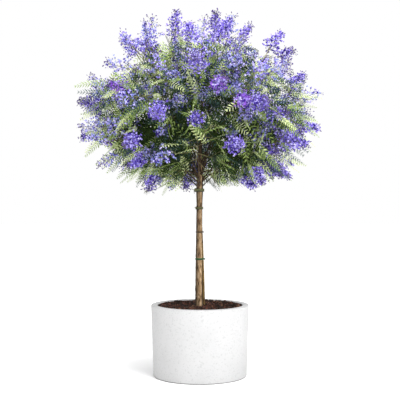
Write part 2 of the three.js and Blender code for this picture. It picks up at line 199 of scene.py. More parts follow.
BLOOM_CHANCES = (0.2, 0.4, 0.85, 0.5, 0.4)

# Bands of the crown: how steep a direction from its centre is where they start and are full
LOW_BAND = (0.15, -0.35)
RIM_BAND = (-0.75, -0.5)
HIGH_BAND = (0.15, 0.55)

# How deep leaves have to end: plain, underneath, and what comes off on top and at the rim
SPRAY_LIMIT = (1.0, 1.0, 0.22, 0.13)
FILL_LIMIT = (0.92, 0.97, 0.15, 0.11)
SHOOT_LIMIT = (0.9, 0.96, 0.15, 0.1)

# Leaves
LEAF_TONES = ("pale", "fresh", "bluish", "deep")
FINE_KINDS = 6
PLAIN_KINDS = 8
PLAIN_PAIRS = 7
PINNA_SPAN = (0.14, 0.95)
PINNA_OUTLINE = ((0.1, 0.3, 0.7, 1.0), (0.62, 1.0, 0.85, 0.36))  # their length along the leaf
PINNA_ANGLES = (70, 40)
LEAFLET_SIZES = (0.31, 0.18)
LEAFLET_ANGLE = math.radians(52)
RIB_WIDTHS = (0.0075, 0.003)
TONE_MIXING = (0.4, 0.12)  # how far short and long leaves stray in tone
# the high shift is painted light on top, the under shift painted shade under the crown
TONE_SHIFTS = {"high": 0.25, "long": -0.5, "under": -0.12}
HIGH_LEAVES = (0.15, 0.4)  # above the crown's centre, where they start to pale and are palest
LONG_LEAVES = (0.16, 0.22)

# Blossom
FLORET_TONES = ("violet", "deep", "lavender", "slate", "magenta")
TONE_SHARES = (0.44, 0.3, 0.26)  # of a panicle's florets
PANICLE_WIDTH = 0.44  # of its length, from the axis out
BRANCH_SPAN = (0.06, 0.97)
BRANCH_LEANS = (84, 24)
BRANCH_SIZES = (0.75, 1.15)
FLORET_STRAY = {"place": 0.003, "aim": 0.9, "age": 0.1}
INNER_DEPTH = 0.78  # inside it panicles are sparse
OUTER_DEPTH = 1.02  # past it nothing of a panicle is kept
FLORET_SIZE = (0.009, 0.013)
BUDS_FROM = 0.93
BUD_SIZE = (0.007, 0.011)
BUD_STALK = (0.006, 0.016)
STALK_RADII = {"axis": 0.0016, "branch": 0.0009, "bud": 0.0006}

# The studio
FLOOR_RADIUS = 30
GLOW_SPAN = (0.06, 0.5)  # from the planter to where the floor's glow is full
LAMPS_AIM = Vector((0, 0, 1.2))
LAMPS = (  # name, place and size
    ("key", (2.5, -3.3, 4.2), 3.0),
    ("fill", (-3.2, -3.4, 2.2), 2.5),
    ("top", (0.2, -1.1, 4.3), 2.0),
)


class Kind(NamedTuple):
    """A kind of foliage mass. Spread is the twigs' angle to the stem at its foot and at its tip."""

    twigs: int
    twig_length: float
    leaves: int
    leaf_length: float
    blooms: bool
    spread: tuple


class Tier(NamedTuple):
    """A ring of masses. Attach is where its limbs leave the trunk, bare their share of bough."""

    kind: Kind
    count: int
    elevation: float
    phase: float
    reach: float
    attach: float
    stagger: float
    bare: float


BLOOMING = Kind(5, 0.145, 3, 0.26, True, (math.radians(84), math.radians(42)))
LEAFY = Kind(4, 0.09, 3, 0.21, False, (math.radians(84), math.radians(50)))
TIERS = {
    "under": Tier(LEAFY, 6, -60, 0, 0.75, 1.110, 0.024, 0.0),
    "inner": Tier(LEAFY, 3, -4, 30, 0.5, 1.230, 0.060, 0.0),
    "skirt": Tier(BLOOMING, 6, -20, 30, 0.8, 1.052, 0.030, 0.5),
    "belt": Tier(BLOOMING, 6, 9, 0, 0.8, 1.085, 0.034, 0.52),
    "shoulder": Tier(BLOOMING, 6, 38, 30, 0.8, 1.140, 0.040, 0.54),
    "top": Tier(BLOOMING, 3, 70, 75, 0.8, 1.250, 0.050, 0.5),
}


# Small sums on numbers and arrays


def lerp(low, high, share):
    return low + (high - low) * share


def rise(value, start, full):
    """How far values have gone from a start to where they count in full, from 0 to 1."""
    return np.clip((value - start) / (full - start), 0, 1)


def unit(vectors):
    return vectors / np.linalg.norm(vectors, axis=-1, keepdims=True)


def seeded(seed):
    """The same random numbers from 0 to 1 that the solids grew by."""
    state = (seed + 1) * 2654435761 % 2**32
    while True:
        state = (state * 1664525 + 1013904223) % 2**32
        yield state / 2**32


def linear(red, green, blue):
    """A colour of 0 to 255 as screens show it, in the units that shaders use."""
    shares = (red / 255, green / 255, blue / 255)
    return tuple(s / 12.92 if s < 0.04045 else ((s + 0.055) / 1.055) ** 2.4 for s in shares)


def turned(vector, axis, angle):
    return np.array(Quaternion(Vector(axis), angle) @ Vector(vector))


def facing(angle, up=0.0):
    """Unit vectors at an angle round Z. Up is their part along Z."""
    level = math.sqrt(1 - up**2)
    return np.stack([level * np.cos(angle), level * np.sin(angle), up + 0 * angle], axis=-1)


def sideways(axis, angle):
    """A direction square to an axis, turned about it."""
    flat = (1, 0, 0) if abs(axis[2]) > 0.95 else (0, 0, 1)
    return turned(unit(np.cross(axis, flat)), axis, angle)


def rough(points, scale, seed, octaves=4):
    """Fractal noise of about -1 to 1 at each point."""
    shift = Vector((7.3 * seed, 3.1 * seed, 5.7 * seed))
    values = [noise.fractal(Vector(p * scale) + shift, 1.0, 2.1, octaves) for p in points]
    return np.array(values)


# Shapes kept as arrays, so that thousands of copies join fast


class Shape:
    """Points, the faces' corners as point numbers, and how many corners each face has."""

    def __init__(self, points, corners, sizes):
        self.points = points
        self.corners = corners
        self.sizes = sizes

    @classmethod
    def of(cls, bm):
        """Takes over a bmesh, and frees it."""
        bm.verts.index_update()
        points = np.array([vert.co for vert in bm.verts])
        corners = np.array([vert.index for face in bm.faces for vert in face.verts])
        sizes = np.array([len(face.verts) for face in bm.faces])
        bm.free()
        return cls(points, corners, sizes)

    @classmethod
    def joined(cls, shapes):
        starts = np.cumsum([0] + [len(shape.points) for shape in shapes[:-1]])
        points = np.vstack([shape.points for shape in shapes])
        corners = np.concatenate([shape.corners + start for shape, start in zip(shapes, starts)])
        return cls(points, corners, np.concatenate([shape.sizes for shape in shapes]))

    def at(self, points):
        """The same faces on other points."""
        return Shape(points, self.corners, self.sizes)

    def placed(self, frames):
        """A copy for each frame, which is three rows of a matrix."""
        turned_points = np.einsum("nij,pj->npi", frames[:, :, :3], self.points)
        points = turned_points + frames[:, None, :, 3]
        shifts = np.arange(len(frames))[:, None] * len(self.points)
        corners = (self.corners[None, :] + shifts).ravel()
        return Shape(points.reshape(-1, 3), corners, np.tile(self.sizes, len(frames)))

    def mesh(self, name, smooth=False):
        mesh = bpy.data.meshes.new(name)
        mesh.vertices.add(len(self.points))
        mesh.vertices.foreach_set("co", self.points.astype(np.float32).ravel())
        mesh.loops.add(len(self.corners))
        mesh.loops.foreach_set("vertex_index", self.corners.astype(np.int32))
        mesh.polygons.add(len(self.sizes))
        starts = np.cumsum(self.sizes) - self.sizes
        mesh.polygons.foreach_set("loop_start", starts.astype(np.int32))
        mesh.polygons.foreach_set("use_smooth", np.full(len(self.sizes), smooth))
        mesh.update(calc_edges=True)
        return mesh


def aimed(points, directions, upwards, sizes):
    """Frames that carry +X to each direction, with +Z as the upper side, scaled along X, Y and Z."""
    directions = unit(directions)
    across = unit(np.cross(upwards, directions))
    normals = np.cross(directions, across)
    sizes = np.asarray(sizes, float)
    if sizes.ndim == 1:
        sizes = np.repeat(sizes[:, None], 3, axis=1)
    columns = np.stack([directions, across, normals], axis=2) * sizes[:, None, :]
    return np.concatenate([columns, points[:, :, None]], axis=2)


def tube(sides, steps):
    """A unit tube along +Z, from 0 to 1, open at its foot and closed at its tip."""
    bm = bmesh.new()
    bmesh.ops.create_circle(bm, segments=sides, radius=1, cap_ends=False)
    rim = bm.edges[:]
    for _ in range(steps):
        made = bmesh.ops.extrude_edge_only(bm, edges=rim)["geom"]
        fresh = {item for item in made if isinstance(item, bmesh.types.BMVert)}
        edges = [item for item in made if isinstance(item, bmesh.types.BMEdge)]
        rim = [edge for edge in edges if fresh.issuperset(edge.verts)]
        bmesh.ops.translate(bm, verts=list(fresh), vec=(0, 0, 1 / steps))
    bmesh.ops.contextual_create(bm, geom=rim)
    bmesh.ops.recalc_face_normals(bm, faces=bm.faces)
    return Shape.of(bm)


def swept(pattern, centre_at, radius_at):
    """A unit tube carried along a path. Both functions take shares of the way, as arrays."""
    along = pattern.points[:, 2]
    angle = np.arctan2(pattern.points[:, 1], pattern.points[:, 0])
    nudge = 1e-3
    tangent = unit(centre_at(along + nudge) - centre_at(along - nudge))
    start, end = centre_at(np.array([0.0, 1.0]))
    chord = end - start
    upright = math.hypot(chord[0], chord[1]) < 0.05 * np.linalg.norm(chord)
    level = np.array([1.0, 0, 0]) if upright else np.array([-chord[1], chord[0], 0])
    one = unit(level - (tangent @ level)[:, None] * tangent)
    two = np.cross(tangent, one)
    radius = radius_at(along, angle)[:, None]
    ring = np.cos(angle)[:, None] * one + np.sin(angle)[:, None] * two
    return pattern.at(centre_at(along) + radius * ring)


def curve_at(curve, share):
    """Points of a quadratic curve, given by its three control points."""
    share = np.asarray(share, float)[..., None]
    start, bend, end = curve
    return (1 - share) ** 2 * start + 2 * share * (1 - share) * bend + share**2 * end


def tangent_at(curve, share):
    start, bend, end = curve
    return unit((1 - share) * (bend - start) + share * (end - bend))


def tapered(pattern, curve, foot, tip):
    """A unit tube carried along a quadratic curve, with the radii foot and tip at its ends."""

    def radius_at(along, angle):
        return lerp(foot, tip, along)

    return swept(pattern, lambda along: curve_at(curve, along), radius_at)


# Materials


class Value:
    """A shader socket. Sums on it add their Math nodes."""

    def __init__(self, look, socket):
        self.look = look
        self.socket = socket

    def _sum(self, operation, first, second):
        return self.look.add("ShaderNodeMath", {"operation": operation}, {0: first, 1: second})

    def __add__(self, other):
        return self._sum("ADD", self, other)

    def __sub__(self, other):
        return self._sum("SUBTRACT", self, other)

    def __rsub__(self, other):
        return self._sum("SUBTRACT", other, self)

    def __mul__(self, other):
        return self._sum("MULTIPLY", self, other)

    def __pow__(self, other):
        return self._sum("POWER", self, other)

    def __gt__(self, other):
        return self._sum("GREATER_THAN", self, other)

    def __lt__(self, other):
        return self._sum("LESS_THAN", self, other)

    __radd__ = __add__
    __rmul__ = __mul__


class Look:
    """A material in the making, round its Principled shader."""

    def __init__(self, name, **plain):
        self.material = bpy.data.materials.new(name)
        self.material.use_nodes = True
        self.tree = self.material.node_tree
        self.shader = self.tree.nodes["Principled BSDF"]
        self.place = self.add("ShaderNodeTexCoord", output="Object")
        for name, value in plain.items():
            self.set(name.replace("_", " "), value)

    def feed(self, socket, value):
        if isinstance(value, Value):
            self.tree.links.new(value.socket, socket)
        elif isinstance(value, tuple) and len(value) < len(socket.default_value):
            socket.default_value = (*value, 1)
        else:
            socket.default_value = value

    def set(self, name, value):
        """Sets or links one of the shader's own sockets."""
        self.feed(self.shader.inputs[name], value)

    def add(self, kind, settings=None, inputs=None, output=0):
        """Adds a node: first its settings, then the values or links of its sockets."""
        node = self.tree.nodes.new(kind)
        for name, value in (settings or {}).items():
            if name == "stops":
                self.set_stops(node.color_ramp, value)
            else:
                setattr(node, name, value)
        for name, value in (inputs or {}).items():
            self.feed(node.inputs[name], value)
        return Value(self, node.outputs[output])

    def set_stops(self, ramp, stops):
        while len(ramp.elements) < len(stops):
            ramp.elements.new(1.0)
        for element, (position, colour) in zip(ramp.elements, stops):
            element.position = position
            element.color = (*colour, 1)

    def along(self, axis):
        """How far each point lies along X, Y or Z, given as 0, 1 or 2."""
        return self.add("ShaderNodeSeparateXYZ", None, {0: self.place}, output=axis)

    def noise(self, scale, stretch=(1, 1, 1), detail=4.0, roughness=0.6):
        place = self.add("ShaderNodeMapping", None, {"Vector": self.place, "Scale": stretch})
        inputs = {"Vector": place, "Scale": scale, "Detail": detail, "Roughness": roughness}
        return self.add("ShaderNodeTexNoise", None, inputs)

    def specks(self, scale):
        """The distance to the nearest of many scattered points."""
        return self.add("ShaderNodeTexVoronoi", None, {"Vector": self.place, "Scale": scale})

    def ramp(self, factor, *stops):
        return self.add("ShaderNodeValToRGB", {"stops": stops}, {"Fac": factor})

    def mixed(self, factor, first, second, blend="MIX"):
        settings = {"data_type": "RGBA", "blend_type": blend}
        return self.add("ShaderNodeMix", settings, {0: factor, 6: first, 7: second}, output=2)

    def bumped(self, height, strength, distance):
        inputs = {"Height": height, "Strength": strength, "Distance": distance}
        self.set("Normal", self.add("ShaderNodeBump", None, inputs))

    def see_through(self, colour, share):
        """Lets a share of the light pass through a thin surface."""
        through = self.add("ShaderNodeBsdfTranslucent", None, {"Color": colour})
        plain = Value(self, self.shader.outputs[0])
        both = self.add("ShaderNodeMixShader", None, {0: share, 1: plain, 2: through})
        output = self.tree.nodes["Material Output"]
        self.tree.links.new(both.socket, output.inputs["Surface"])


def stone_look(colour, fleck):
    """Cast stone: pale, with faint clouds, a fine grain, a few pinholes and a painted contact shadow at
    its foot.
    """
    look = Look("cast_stone", Specular_IOR_Level=0.3)
    grain = look.noise(110, detail=3.0)
    fine = look.noise(420, detail=2.0)
    pinholes = look.specks(120) < 0.12
    clouds = look.noise(6, detail=3.0)
    tone = look.mixed(0.5 * (grain > 0.6), colour, fleck)
    tone = look.mixed(0.5 * pinholes, tone, fleck)
    tone = look.mixed(0.5 * clouds, tone, fleck)
    # painted contact shadow: the lowest 6 mm darken towards the floor
    foot = look.ramp(look.along(2) * 50, (0.1, WHITE), (0.3, BLACK))  # the lowest 6 mm
    look.set("Base Color", look.mixed(foot, tone, linear(70, 70, 68)))
    look.set("Roughness", 0.6 + 0.25 * fine)
    look.bumped(0.6 * grain + 0.4 * fine - 0.8 * pinholes, 0.8, 0.001)
    return look.material


def soil_look(dark, light):
    look = Look("potting_soil", Specular_IOR_Level=0.2)
    crumbs = look.noise(160, detail=6.0, roughness=0.7)
    clods = look.noise(35, detail=3.0)
    tone = look.ramp(crumbs, (0.35, dark), (0.72, light))
    look.set("Base Color", look.mixed(0.6 * clods, tone, dark))
    look.set("Roughness", 0.8 + 0.2 * crumbs)
    look.bumped(crumbs + clods, 0.9, 0.004)
    return look.material


def chip_look(name, colour):
    look = Look(name, Specular_IOR_Level=0.2, Roughness=0.85)
    grain = look.noise(300, stretch=(1, 1, 0.3), detail=3.0)
    dark = tuple(0.45 * part for part in colour)
    look.set("Base Color", look.ramp(grain, (0.3, dark), (0.62, colour)))
    look.bumped(grain, 0.6, 0.001)
    return look.material


def bark_look(name, crack, tan, pale, rust, shading=()):
    """Bark: upright cracks, pale flakes and rusty patches. Shading paints light and shade across X."""
    look = Look(name, Specular_IOR_Level=0.25)
    cracks = look.noise(110, stretch=(1, 1, 0.22), detail=5.0, roughness=0.65)
    rings = look.noise(60, stretch=(0.3, 0.3, 3.0), detail=2.0)
    patches = look.noise(15, stretch=(1, 1, 0.6), detail=3.0)
    flakes = look.noise(26, stretch=(1, 1, 0.5), detail=4.0)
    tone = look.ramp(cracks, (0.36, crack), (0.5, tan), (0.66, pale))
    rusty = look.ramp(patches, (0.56, BLACK), (0.64, (0.6, 0.6, 0.6)))
    flaky = look.ramp(flakes, (0.6, BLACK), (0.7, (0.7, 0.7, 0.7)))
    tone = look.mixed(rusty, tone, rust)
    tone = look.mixed(flaky, tone, pale)
    tone = look.mixed(0.3 * rings, tone, crack)
    # painted light and shade across the trunk: darker on its left side and in the crease by the side
    # stem, lighter where the key light falls
    if shading:
        height = look.along(2)
        off = look.along(0) - AXIS_TILT * height + AXIS_SHIFT
        taper = (TRUNK_RADII["base"] - TRUNK_RADII["fork"]) / (FORK - GROUND)
        radius = (TRUNK_RADII["base"] + taper * GROUND) - taper * height
        share = 0.5 + 0.5 * off * (radius ** -1.0) + 0.1 * (cracks - 0.5)
        painted_shade = look.ramp(share, *((place, (level,) * 3) for place, level in shading))
        tone = look.mixed(1.0, tone, painted_shade, "MULTIPLY")
        # darker towards the top
        upper = look.ramp(height, (0.58, WHITE), (0.8, (0.8, 0.79, 0.76)))
        tone = look.mixed(1.0, tone, upper, "MULTIPLY")
    look.set("Base Color", tone)
    look.set("Roughness", 0.95 - 0.25 * cracks)
    look.bumped(cracks + 0.3 * rings, 0.7, 0.0015)
    return look.material


def tie_look(name, colour, low, high):
    """A tie with a painted shadow along its lower edge, from one height to another."""
    look = Look(name, Specular_IOR_Level=0.3, Roughness=0.6)
    share = (look.along(2) - low) * (1 / (high - low))
    shade = look.ramp(share, (0.15, (0.15,) * 3), (0.6, WHITE))
    strands = look.noise(500, stretch=(0.3, 0.3, 2.0), detail=2.0)
    dark = tuple(0.4 * part for part in colour)
    tone = look.ramp(strands, (0.3, dark), (0.6, colour))
    look.set("Base Color", look.mixed(1.0, tone, shade, "MULTIPLY"))
    look.bumped(strands, 0.5, 0.0008)
    return look.material


def leaf_look(name, colour, through):
    """A thin leaf: a soft gloss, and some light that passes through."""
    look = Look(name, Specular_IOR_Level=0.06, Roughness=0.6, Base_Color=colour)
    look.see_through(tuple(min(1.0, 1.25 * part) for part in colour), through)
    return look.material


def petal_look(name, colour, through):
    look = Look(name, Specular_IOR_Level=0.1, Roughness=0.7, Base_Color=colour)
    look.see_through(colour, through)
    return look.material


# Pieces


def add_piece(name, shape, material, slot, nodes=(), smooth=False):
    """A finished piece of the object, at the origin, riding on its one body."""
    piece = bpy.data.objects.new(name, shape.mesh(name, smooth))
    bpy.context.scene.collection.objects.link(piece)
    piece.data.materials.append(material)
    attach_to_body(piece, "root")
    if nodes:
        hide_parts(*nodes)


def spun(profile, segments):
    """A profile of (radius, height) points, turned about the Z axis and closed at its ends."""
    bm = bmesh.new()
    verts = [bm.verts.new((radius, 0, height)) for radius, height in profile]
    edges = [bm.edges.new(pair) for pair in zip(verts, verts[1:])]
    bmesh.ops.spin(
        bm,
        geom=verts + edges,
        axis=(0, 0, 1),
        cent=(0, 0, 0),
        angle=2 * math.pi,
        steps=segments,
        use_merge=True,
    )
    bmesh.ops.remove_doubles(bm, verts=bm.verts, dist=1e-5)
    bmesh.ops.recalc_face_normals(bm, faces=bm.faces)
    return Shape.of(bm)


def rounded(corner, radius, start, end, steps):
    """Points of an arc round a centre, from one angle to another, in degrees."""
    angles = np.radians(np.linspace(start, end, steps + 1))
    return [(corner[0] + radius * math.cos(a), corner[1] + radius * math.sin(a)) for a in angles]


def build_planter(settings):
    """A round planter, a little wider at its rim, with a rounded lip."""
    edge = settings.edge
    rim = POT_HIGH.x
    foot = rim - settings.taper
    inside = rim - settings.wall
    lip = POT_HIGH.z - edge
    profile = [(0, 0), (foot - edge, 0)]
    profile += rounded((foot - edge, edge), edge, -90, 0, 4)
    profile += [(lerp(foot, rim, share), lerp(edge, lip, share)) for share in (0.25, 0.5, 0.75)]
    profile += rounded((rim - edge, lip), edge, 0, 90, 6)
    profile += rounded((inside + edge, lip), edge, 90, 180, 6)
    profile += [(inside - INSIDE_TAPER * settings.taper, SOIL_HIGH.z - WALL_BELOW_SOIL)]
    profile += [(foot - settings.wall, POT_FLOOR), (0, POT_FLOOR)]
    shape = spun(profile, settings.segments)
    outward = unit(shape.points * (1, 1, 0) + 1e-9)
    wave = rough(shape.points, 9, 1, octaves=2)[:, None] * settings.unevenness
    side = (np.hypot(shape.points[:, 0], shape.points[:, 1]) > foot - edge)[:, None]
    shape = shape.at(shape.points - np.abs(wave) * outward * side)
    material = stone_look(tuple(settings.stone), tuple(settings.fleck))
    add_piece("planter", shape, material, "pot", ["pot"], smooth=True)


def crumb(generator, blunt):
    """A broken block of about unit size: a crumb where it's blunt, or else a chip."""
    bm = bmesh.new()
    bmesh.ops.create_cube(bm, size=1)
    if blunt:
        bmesh.ops.bevel(
            bm,
            geom=bm.edges[:],
            offset=0.25,
            affect="EDGES",
            segments=1,
            profile=0.5,
            material=-1,
        )
    for vert in bm.verts:
        vert.co += Vector(generator.uniform(-0.16, 0.16, 3))
    return Shape.of(bm)


def build_soil(settings):
    """Soil that fills the planter, lumpy on top, under bark chips and crumbs."""
    generator = np.random.default_rng(settings.seed)
    edge = POT_HIGH.x - settings.wall - SOIL_GAP
    shares = np.linspace(1, 0, SOIL_RINGS)
    rings = [(edge * share, GROUND + settings.heap * share**2) for share in shares]
    profile = [(0, SOIL_LOW.z), (SOIL_HIGH.x - SOIL_TAPER, SOIL_LOW.z)] + rings
    shape = spun(profile, settings.segments)
    points = shape.points.copy()
    top = points[:, 2] > GROUND - SOIL_EDGE
    away = np.hypot(points[:, 0], points[:, 1])
    lumpy = top * rise(away, edge, edge - SOIL_FADE) * rise(away, *SOIL_ROUND_TRUNK)
    points[:, 2] += settings.lumps * lumpy * (rough(points, 28, 2) - 0.25)
    material = soil_look(linear(16, 11, 8), linear(58, 42, 32))
    add_piece("soil_surface", shape.at(points), material, "soil", ["soil"], smooth=True)
    sorts = {
        "chips_dark": (settings.chips, linear(46, 31, 24), 0.017),
        "chips_rusty": (settings.chips // 2, linear(92, 54, 42), 0.016),
        "chips_tan": (settings.chips // 6, linear(122, 88, 66), 0.012),
        "crumbs": (3 * settings.chips, linear(34, 24, 18), 0.007),
    }
    for name, (count, colour, size) in sorts.items():
        kinds = [crumb(generator, blunt=name == "crumbs") for _ in range(4)]
        away = edge * np.sqrt(generator.uniform(*CHIP_SPREAD, count))
        angle = generator.uniform(0, 2 * math.pi, count)
        level = GROUND + settings.heap * (away / edge) ** 2
        height = level + generator.uniform(*CHIP_SUNK, count)
        spots = np.stack([away * np.cos(angle), away * np.sin(angle), height], axis=1)
        aims = generator.normal(size=(count, 3)) * (1, 1, 0.3)
        ups = UPRIGHT + CHIP_TILT * generator.normal(size=(count, 3))
        sizes = size * generator.uniform(*CHIP_SIZES, (count, 3)) * CHIP_SHAPE
        frames = aimed(spots, aims, ups, sizes)
        shape = Shape.joined([kind.placed(frames[i::4]) for i, kind in enumerate(kinds)])
        add_piece(name, shape, chip_look(name, colour), "soil")


def trunk_axis(height):
    """The middle of the trunk at a height: a slight lean that straightens at the fork."""
    height = np.asarray(height, float)
    share = (height - GROUND) / (FORK - GROUND)
    across = LEAN * np.cos(share * math.pi / 2.4)
    return np.stack([across, SWAY * np.sin(3 * share), height], axis=-1)


def trunk_radius(height):
    height = np.asarray(height, float)
    below = rise(height, GROUND, FORK)
    above = rise(height, FORK, TRUNK_HIGH.z)
    lower = lerp(TRUNK_RADII["base"], TRUNK_RADII["fork"], below)
    upper = lerp(TRUNK_RADII["tip"], TRUNK_RADII["fork"], (1 - above) ** 1.6)
    return np.where(height < FORK, lower, upper)


def bark_radius(height):
    """The trunk's radius with its swollen neck under the fork."""
    height = np.asarray(height, float)
    neck = NECK["swell"] * np.exp(-(((height - NECK["height"]) / NECK["half"]) ** 2))
    return trunk_radius(height) + neck


def side_stem_at(height):
    """The side stem's middle and radius: it leans in to the trunk, then climbs beside it."""
    height = np.asarray(height, float)
    share = np.clip((height - GROUND) / (SIDE_HIGH.z - GROUND), 0, None)
    radius = lerp(SIDE_RADII["base"], SIDE_RADII["tip"], share**1.6)
    lean = np.clip(1 - (height - GROUND) / (SIDE_MEETS - GROUND), 0, None)
    away = bark_radius(height) + radius + lerp(SIDE_GAP["meet"], SIDE_GAP["base"], lean)
    angle = lerp(*SIDE_ANGLES, share**2)
    return trunk_axis(height) + facing(angle) * away[..., None], radius


def bark_relief(points, depth, seed):
    """How far bark stands out: flat plates between upright cracks, with a few knots."""
    stretched = points * (1, 1, 0.16)
    plates = 1 - 2 * np.abs(rough(stretched, 95, seed, octaves=3))
    knots = np.clip(rough(points * (1, 1, 0.8), 22, seed + 5, octaves=2) - 0.35, 0, None)
    return depth * (plates - 0.5) + 5 * depth * knots


def with_bark(stem, middle, depth, seed):
    """An upright stem with the bark's relief, which stands out from its middle."""
    outward = unit((stem.points - middle) * (1, 1, 0) + 1e-9)
    return stem.at(stem.points + outward * bark_relief(stem.points, depth, seed)[:, None])


def build_trunk(settings):
    """Two bark-covered stems: the trunk, with its root toes, and the slender one beside it."""
    foot = GROUND - FLARE_DEPTH
    collars = [tier.attach + step * tier.stagger for tier in TIERS.values() for step in (0, 1)]

    def trunk_at(along):
        return trunk_axis(lerp(foot, TRUNK_HIGH.z, along))

    def radius_at(along, angle):
        height = lerp(foot, TRUNK_HIGH.z, along)
        flare = np.exp(-np.clip(height - GROUND, 0, None) / FLARE_HEIGHT)
        toe = 0.6 + 0.4 * np.cos(TOES * angle)
        bumps = sum(np.exp(-(((height - collar) / COLLAR["half"]) ** 2)) for collar in collars)
        swollen = TRUNK_RADII["flare"] * flare * toe + COLLAR["swell"] * bumps
        return bark_radius(height) + swollen

    def side_at(along):
        return side_stem_at(lerp(foot, SIDE_HIGH.z, along))[0]

    def side_radius_at(along, angle):
        return side_stem_at(lerp(foot, SIDE_HIGH.z, along))[1]

    trunk = swept(tube(settings.sides, settings.rings), trunk_at, radius_at)
    trunk = with_bark(trunk, trunk_axis(trunk.points[:, 2]), settings.relief, 3)
    side = swept(tube(14, 150), side_at, side_radius_at)
    side = with_bark(side, side_stem_at(side.points[:, 2])[0], 0.3 * settings.relief, 9)

    old = [linear(62, 46, 28), linear(172, 139, 101), linear(216, 189, 153), linear(156, 106, 76)]
    young = [linear(44, 30, 14), linear(112, 88, 48), linear(148, 122, 74), linear(96, 66, 38)]
    # painted shade across the trunk, from its left edge to the crease by the side stem, lightest just
    # before that crease
    edges = ((0.1, 0.15), (0.28, 0.42), (0.58, 0.64), (0.7, 0.84), (0.85, 0.95), (0.94, 0.2))
    material = bark_look("old_bark", *old, shading=edges)
    add_piece("trunk_bark", trunk, material, "bark", ["trunk"], smooth=True)
    add_piece("side_bark", side, bark_look("young_bark", *young), "bark", ["side_stem"], smooth=True)


class Tie(NamedTuple):
    """A tie round the trunk, or round both stems. Height is a multiple of the solid's."""

    node: str
    slot: str
    colour: tuple
    turns: int
    holds_stem: bool
    knot: float
    tail: float
    thickness: float
    height: float


TIES = (
    Tie("tie_1", "tie_green", linear(30, 84, 38), 1, True, 0.2, 0.007, 0.0026, 1.0),
    Tie("tie_2", "tie_brown", linear(74, 54, 28), 1, True, 0.3, 0.006, 0.0026, 1.1),
    Tie("tie_3", "tie_olive", linear(98, 96, 60), 2, False, -2.6, 0.009, 0.0045, 2.4),
    Tie("tie_4", "tie_straw", linear(114, 116, 76), 4, False, -2.7, 0.024, 0.008, 2.3),
)


def band_point(height, angle, holds_stem, clear):
    """The point of a band drawn tight round the stems, where its outside faces an angle."""
    out = facing(angle)
    middle = trunk_axis(height)
    radius = bark_radius(height)
    if holds_stem:
        side_middle, side_radius = side_stem_at(height)
        leads = (out * (side_middle - middle)).sum(axis=-1) + side_radius > radius
        middle = np.where(leads[:, None], side_middle, middle)
        radius = np.where(leads, side_radius, radius)
    return middle + out * (radius + clear)[..., None], out


def build_ties(settings):
    """Soft ties drawn round the stems, each with a knot and two short ends."""
    for tie in TIES:
        low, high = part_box(tie.node)
        middle_height = (low.z + high.z) / 2
        tall = tie.height * (high.z - low.z)
        strand = tall / tie.turns
        thick = tie.thickness * settings.tie_scale
        coil = tube(10, 48 * tie.turns)
        along = coil.points[:, 2]
        angle = tie.knot + 2 * math.pi * tie.turns * along
        level = middle_height + 0.8 * strand * (along - 0.5) * (tie.turns - 1)
        middle, outward = band_point(level, angle, tie.holds_stem, 0.0004 + thick / 2)
        points = middle + outward * (thick / 2 * coil.points[:, :1])
        points[:, 2] += 0.52 * strand * coil.points[:, 1]
        knot, out = band_point(np.full(1, level.mean()), np.full(1, tie.knot), tie.holds_stem, thick)
        bm = bmesh.new()
        bmesh.ops.create_uvsphere(bm, u_segments=10, v_segments=7, radius=0.5)
        bmesh.ops.scale(bm, verts=bm.verts, vec=(2 * thick, 2 * thick, 0.9 * tall))
        bmesh.ops.translate(bm, verts=bm.verts, vec=knot[0])
        shapes = [coil.at(points), Shape.of(bm)]
        for turn, drop in ((0.9, -0.8), (-0.9, 0.3)):
            aim = turned(out[0], (0, 0, 1), turn) + np.array([0, 0, drop])
            curve = (knot[0], knot[0] + 0.5 * tie.tail * out[0], knot[0] + tie.tail * aim)
            width = 0.25 * strand + 0.0006
            shapes.append(tapered(tube(6, 6), curve, width, 0.6 * width))
        foot = middle_height - tall / 2
        material = tie_look(tie.slot, tie.colour, foot, foot + tall)
        add_piece(f"{tie.node}_wound", Shape.joined(shapes), material, tie.slot, [tie.node], smooth=True)


# The crown's growth


def crown_depth(points):
    """How far out points lie in the crown, from 0 at its centre to 1 at its outside."""
    up = points[..., 2] - CENTRE[2]
    power = np.where(up > 0, CROWN["roundness"], CROWN["flatness"])
    across = np.hypot(points[..., 0], points[..., 1]) / CROWN["half_width"]
    upright = np.abs(up) / np.where(up > 0, CROWN["rise"], CROWN["drop"])
    return (across**power + upright**power) ** (1 / power)


class Mass(NamedTuple):
    """A foliage mass and the limb that carries it."""

    tier: Tier
    curve: tuple


def limb_curve(tier, place, index):
    """A limb leaves the trunk, arches out and ends near the crown's outside."""
    random = seeded(LIMB_SEED + index)
    azimuth = math.radians(tier.phase + 360 * place / tier.count) + WANDER * (next(random) - 0.5)
    elevation = math.radians(tier.elevation) + WANDER * (next(random) - 0.5)
    direction = facing(azimuth, math.sin(elevation))
    start = trunk_axis(tier.attach + place % 2 * tier.stagger)
    end = CENTRE + direction * tier.reach / crown_depth(CENTRE + direction)
    bend = lerp(start, end, BEND_AT)
    bend[2] += ARCH * np.linalg.norm(end - start)
    return start, bend, end


PLACES = [(tier, place) for tier in TIERS.values() for place in range(tier.count)]
MASSES = [Mass(tier, limb_curve(tier, place, index)) for index, (tier, place) in enumerate(PLACES)]
SEATS = np.array([curve_at(mass.curve, SEAT) for mass in MASSES])


def in_space(index, points):
    """Whether points lie in the crown and nearer to a mass's seat than to the others."""
    apart = np.delete(SEATS, index, axis=0) - SEATS[index]
    length = np.linalg.norm(apart, axis=1)
    past = (points - SEATS[index]) @ apart.T / length
    return (crown_depth(points) < 1) & (past < length / 2 - SPACE_MARGIN).all(axis=1)


def room_in(index, point, direction, most):
    """How far one can go from a point within a mass's space."""
    steps = np.arange(1, math.ceil(most / SPACE_STEP) + 1) * SPACE_STEP
    free = in_space(index, point + steps[:, None] * direction)
    room = SPACE_STEP * (len(steps) if free.all() else int(np.argmin(free)))
    return min(room, most)


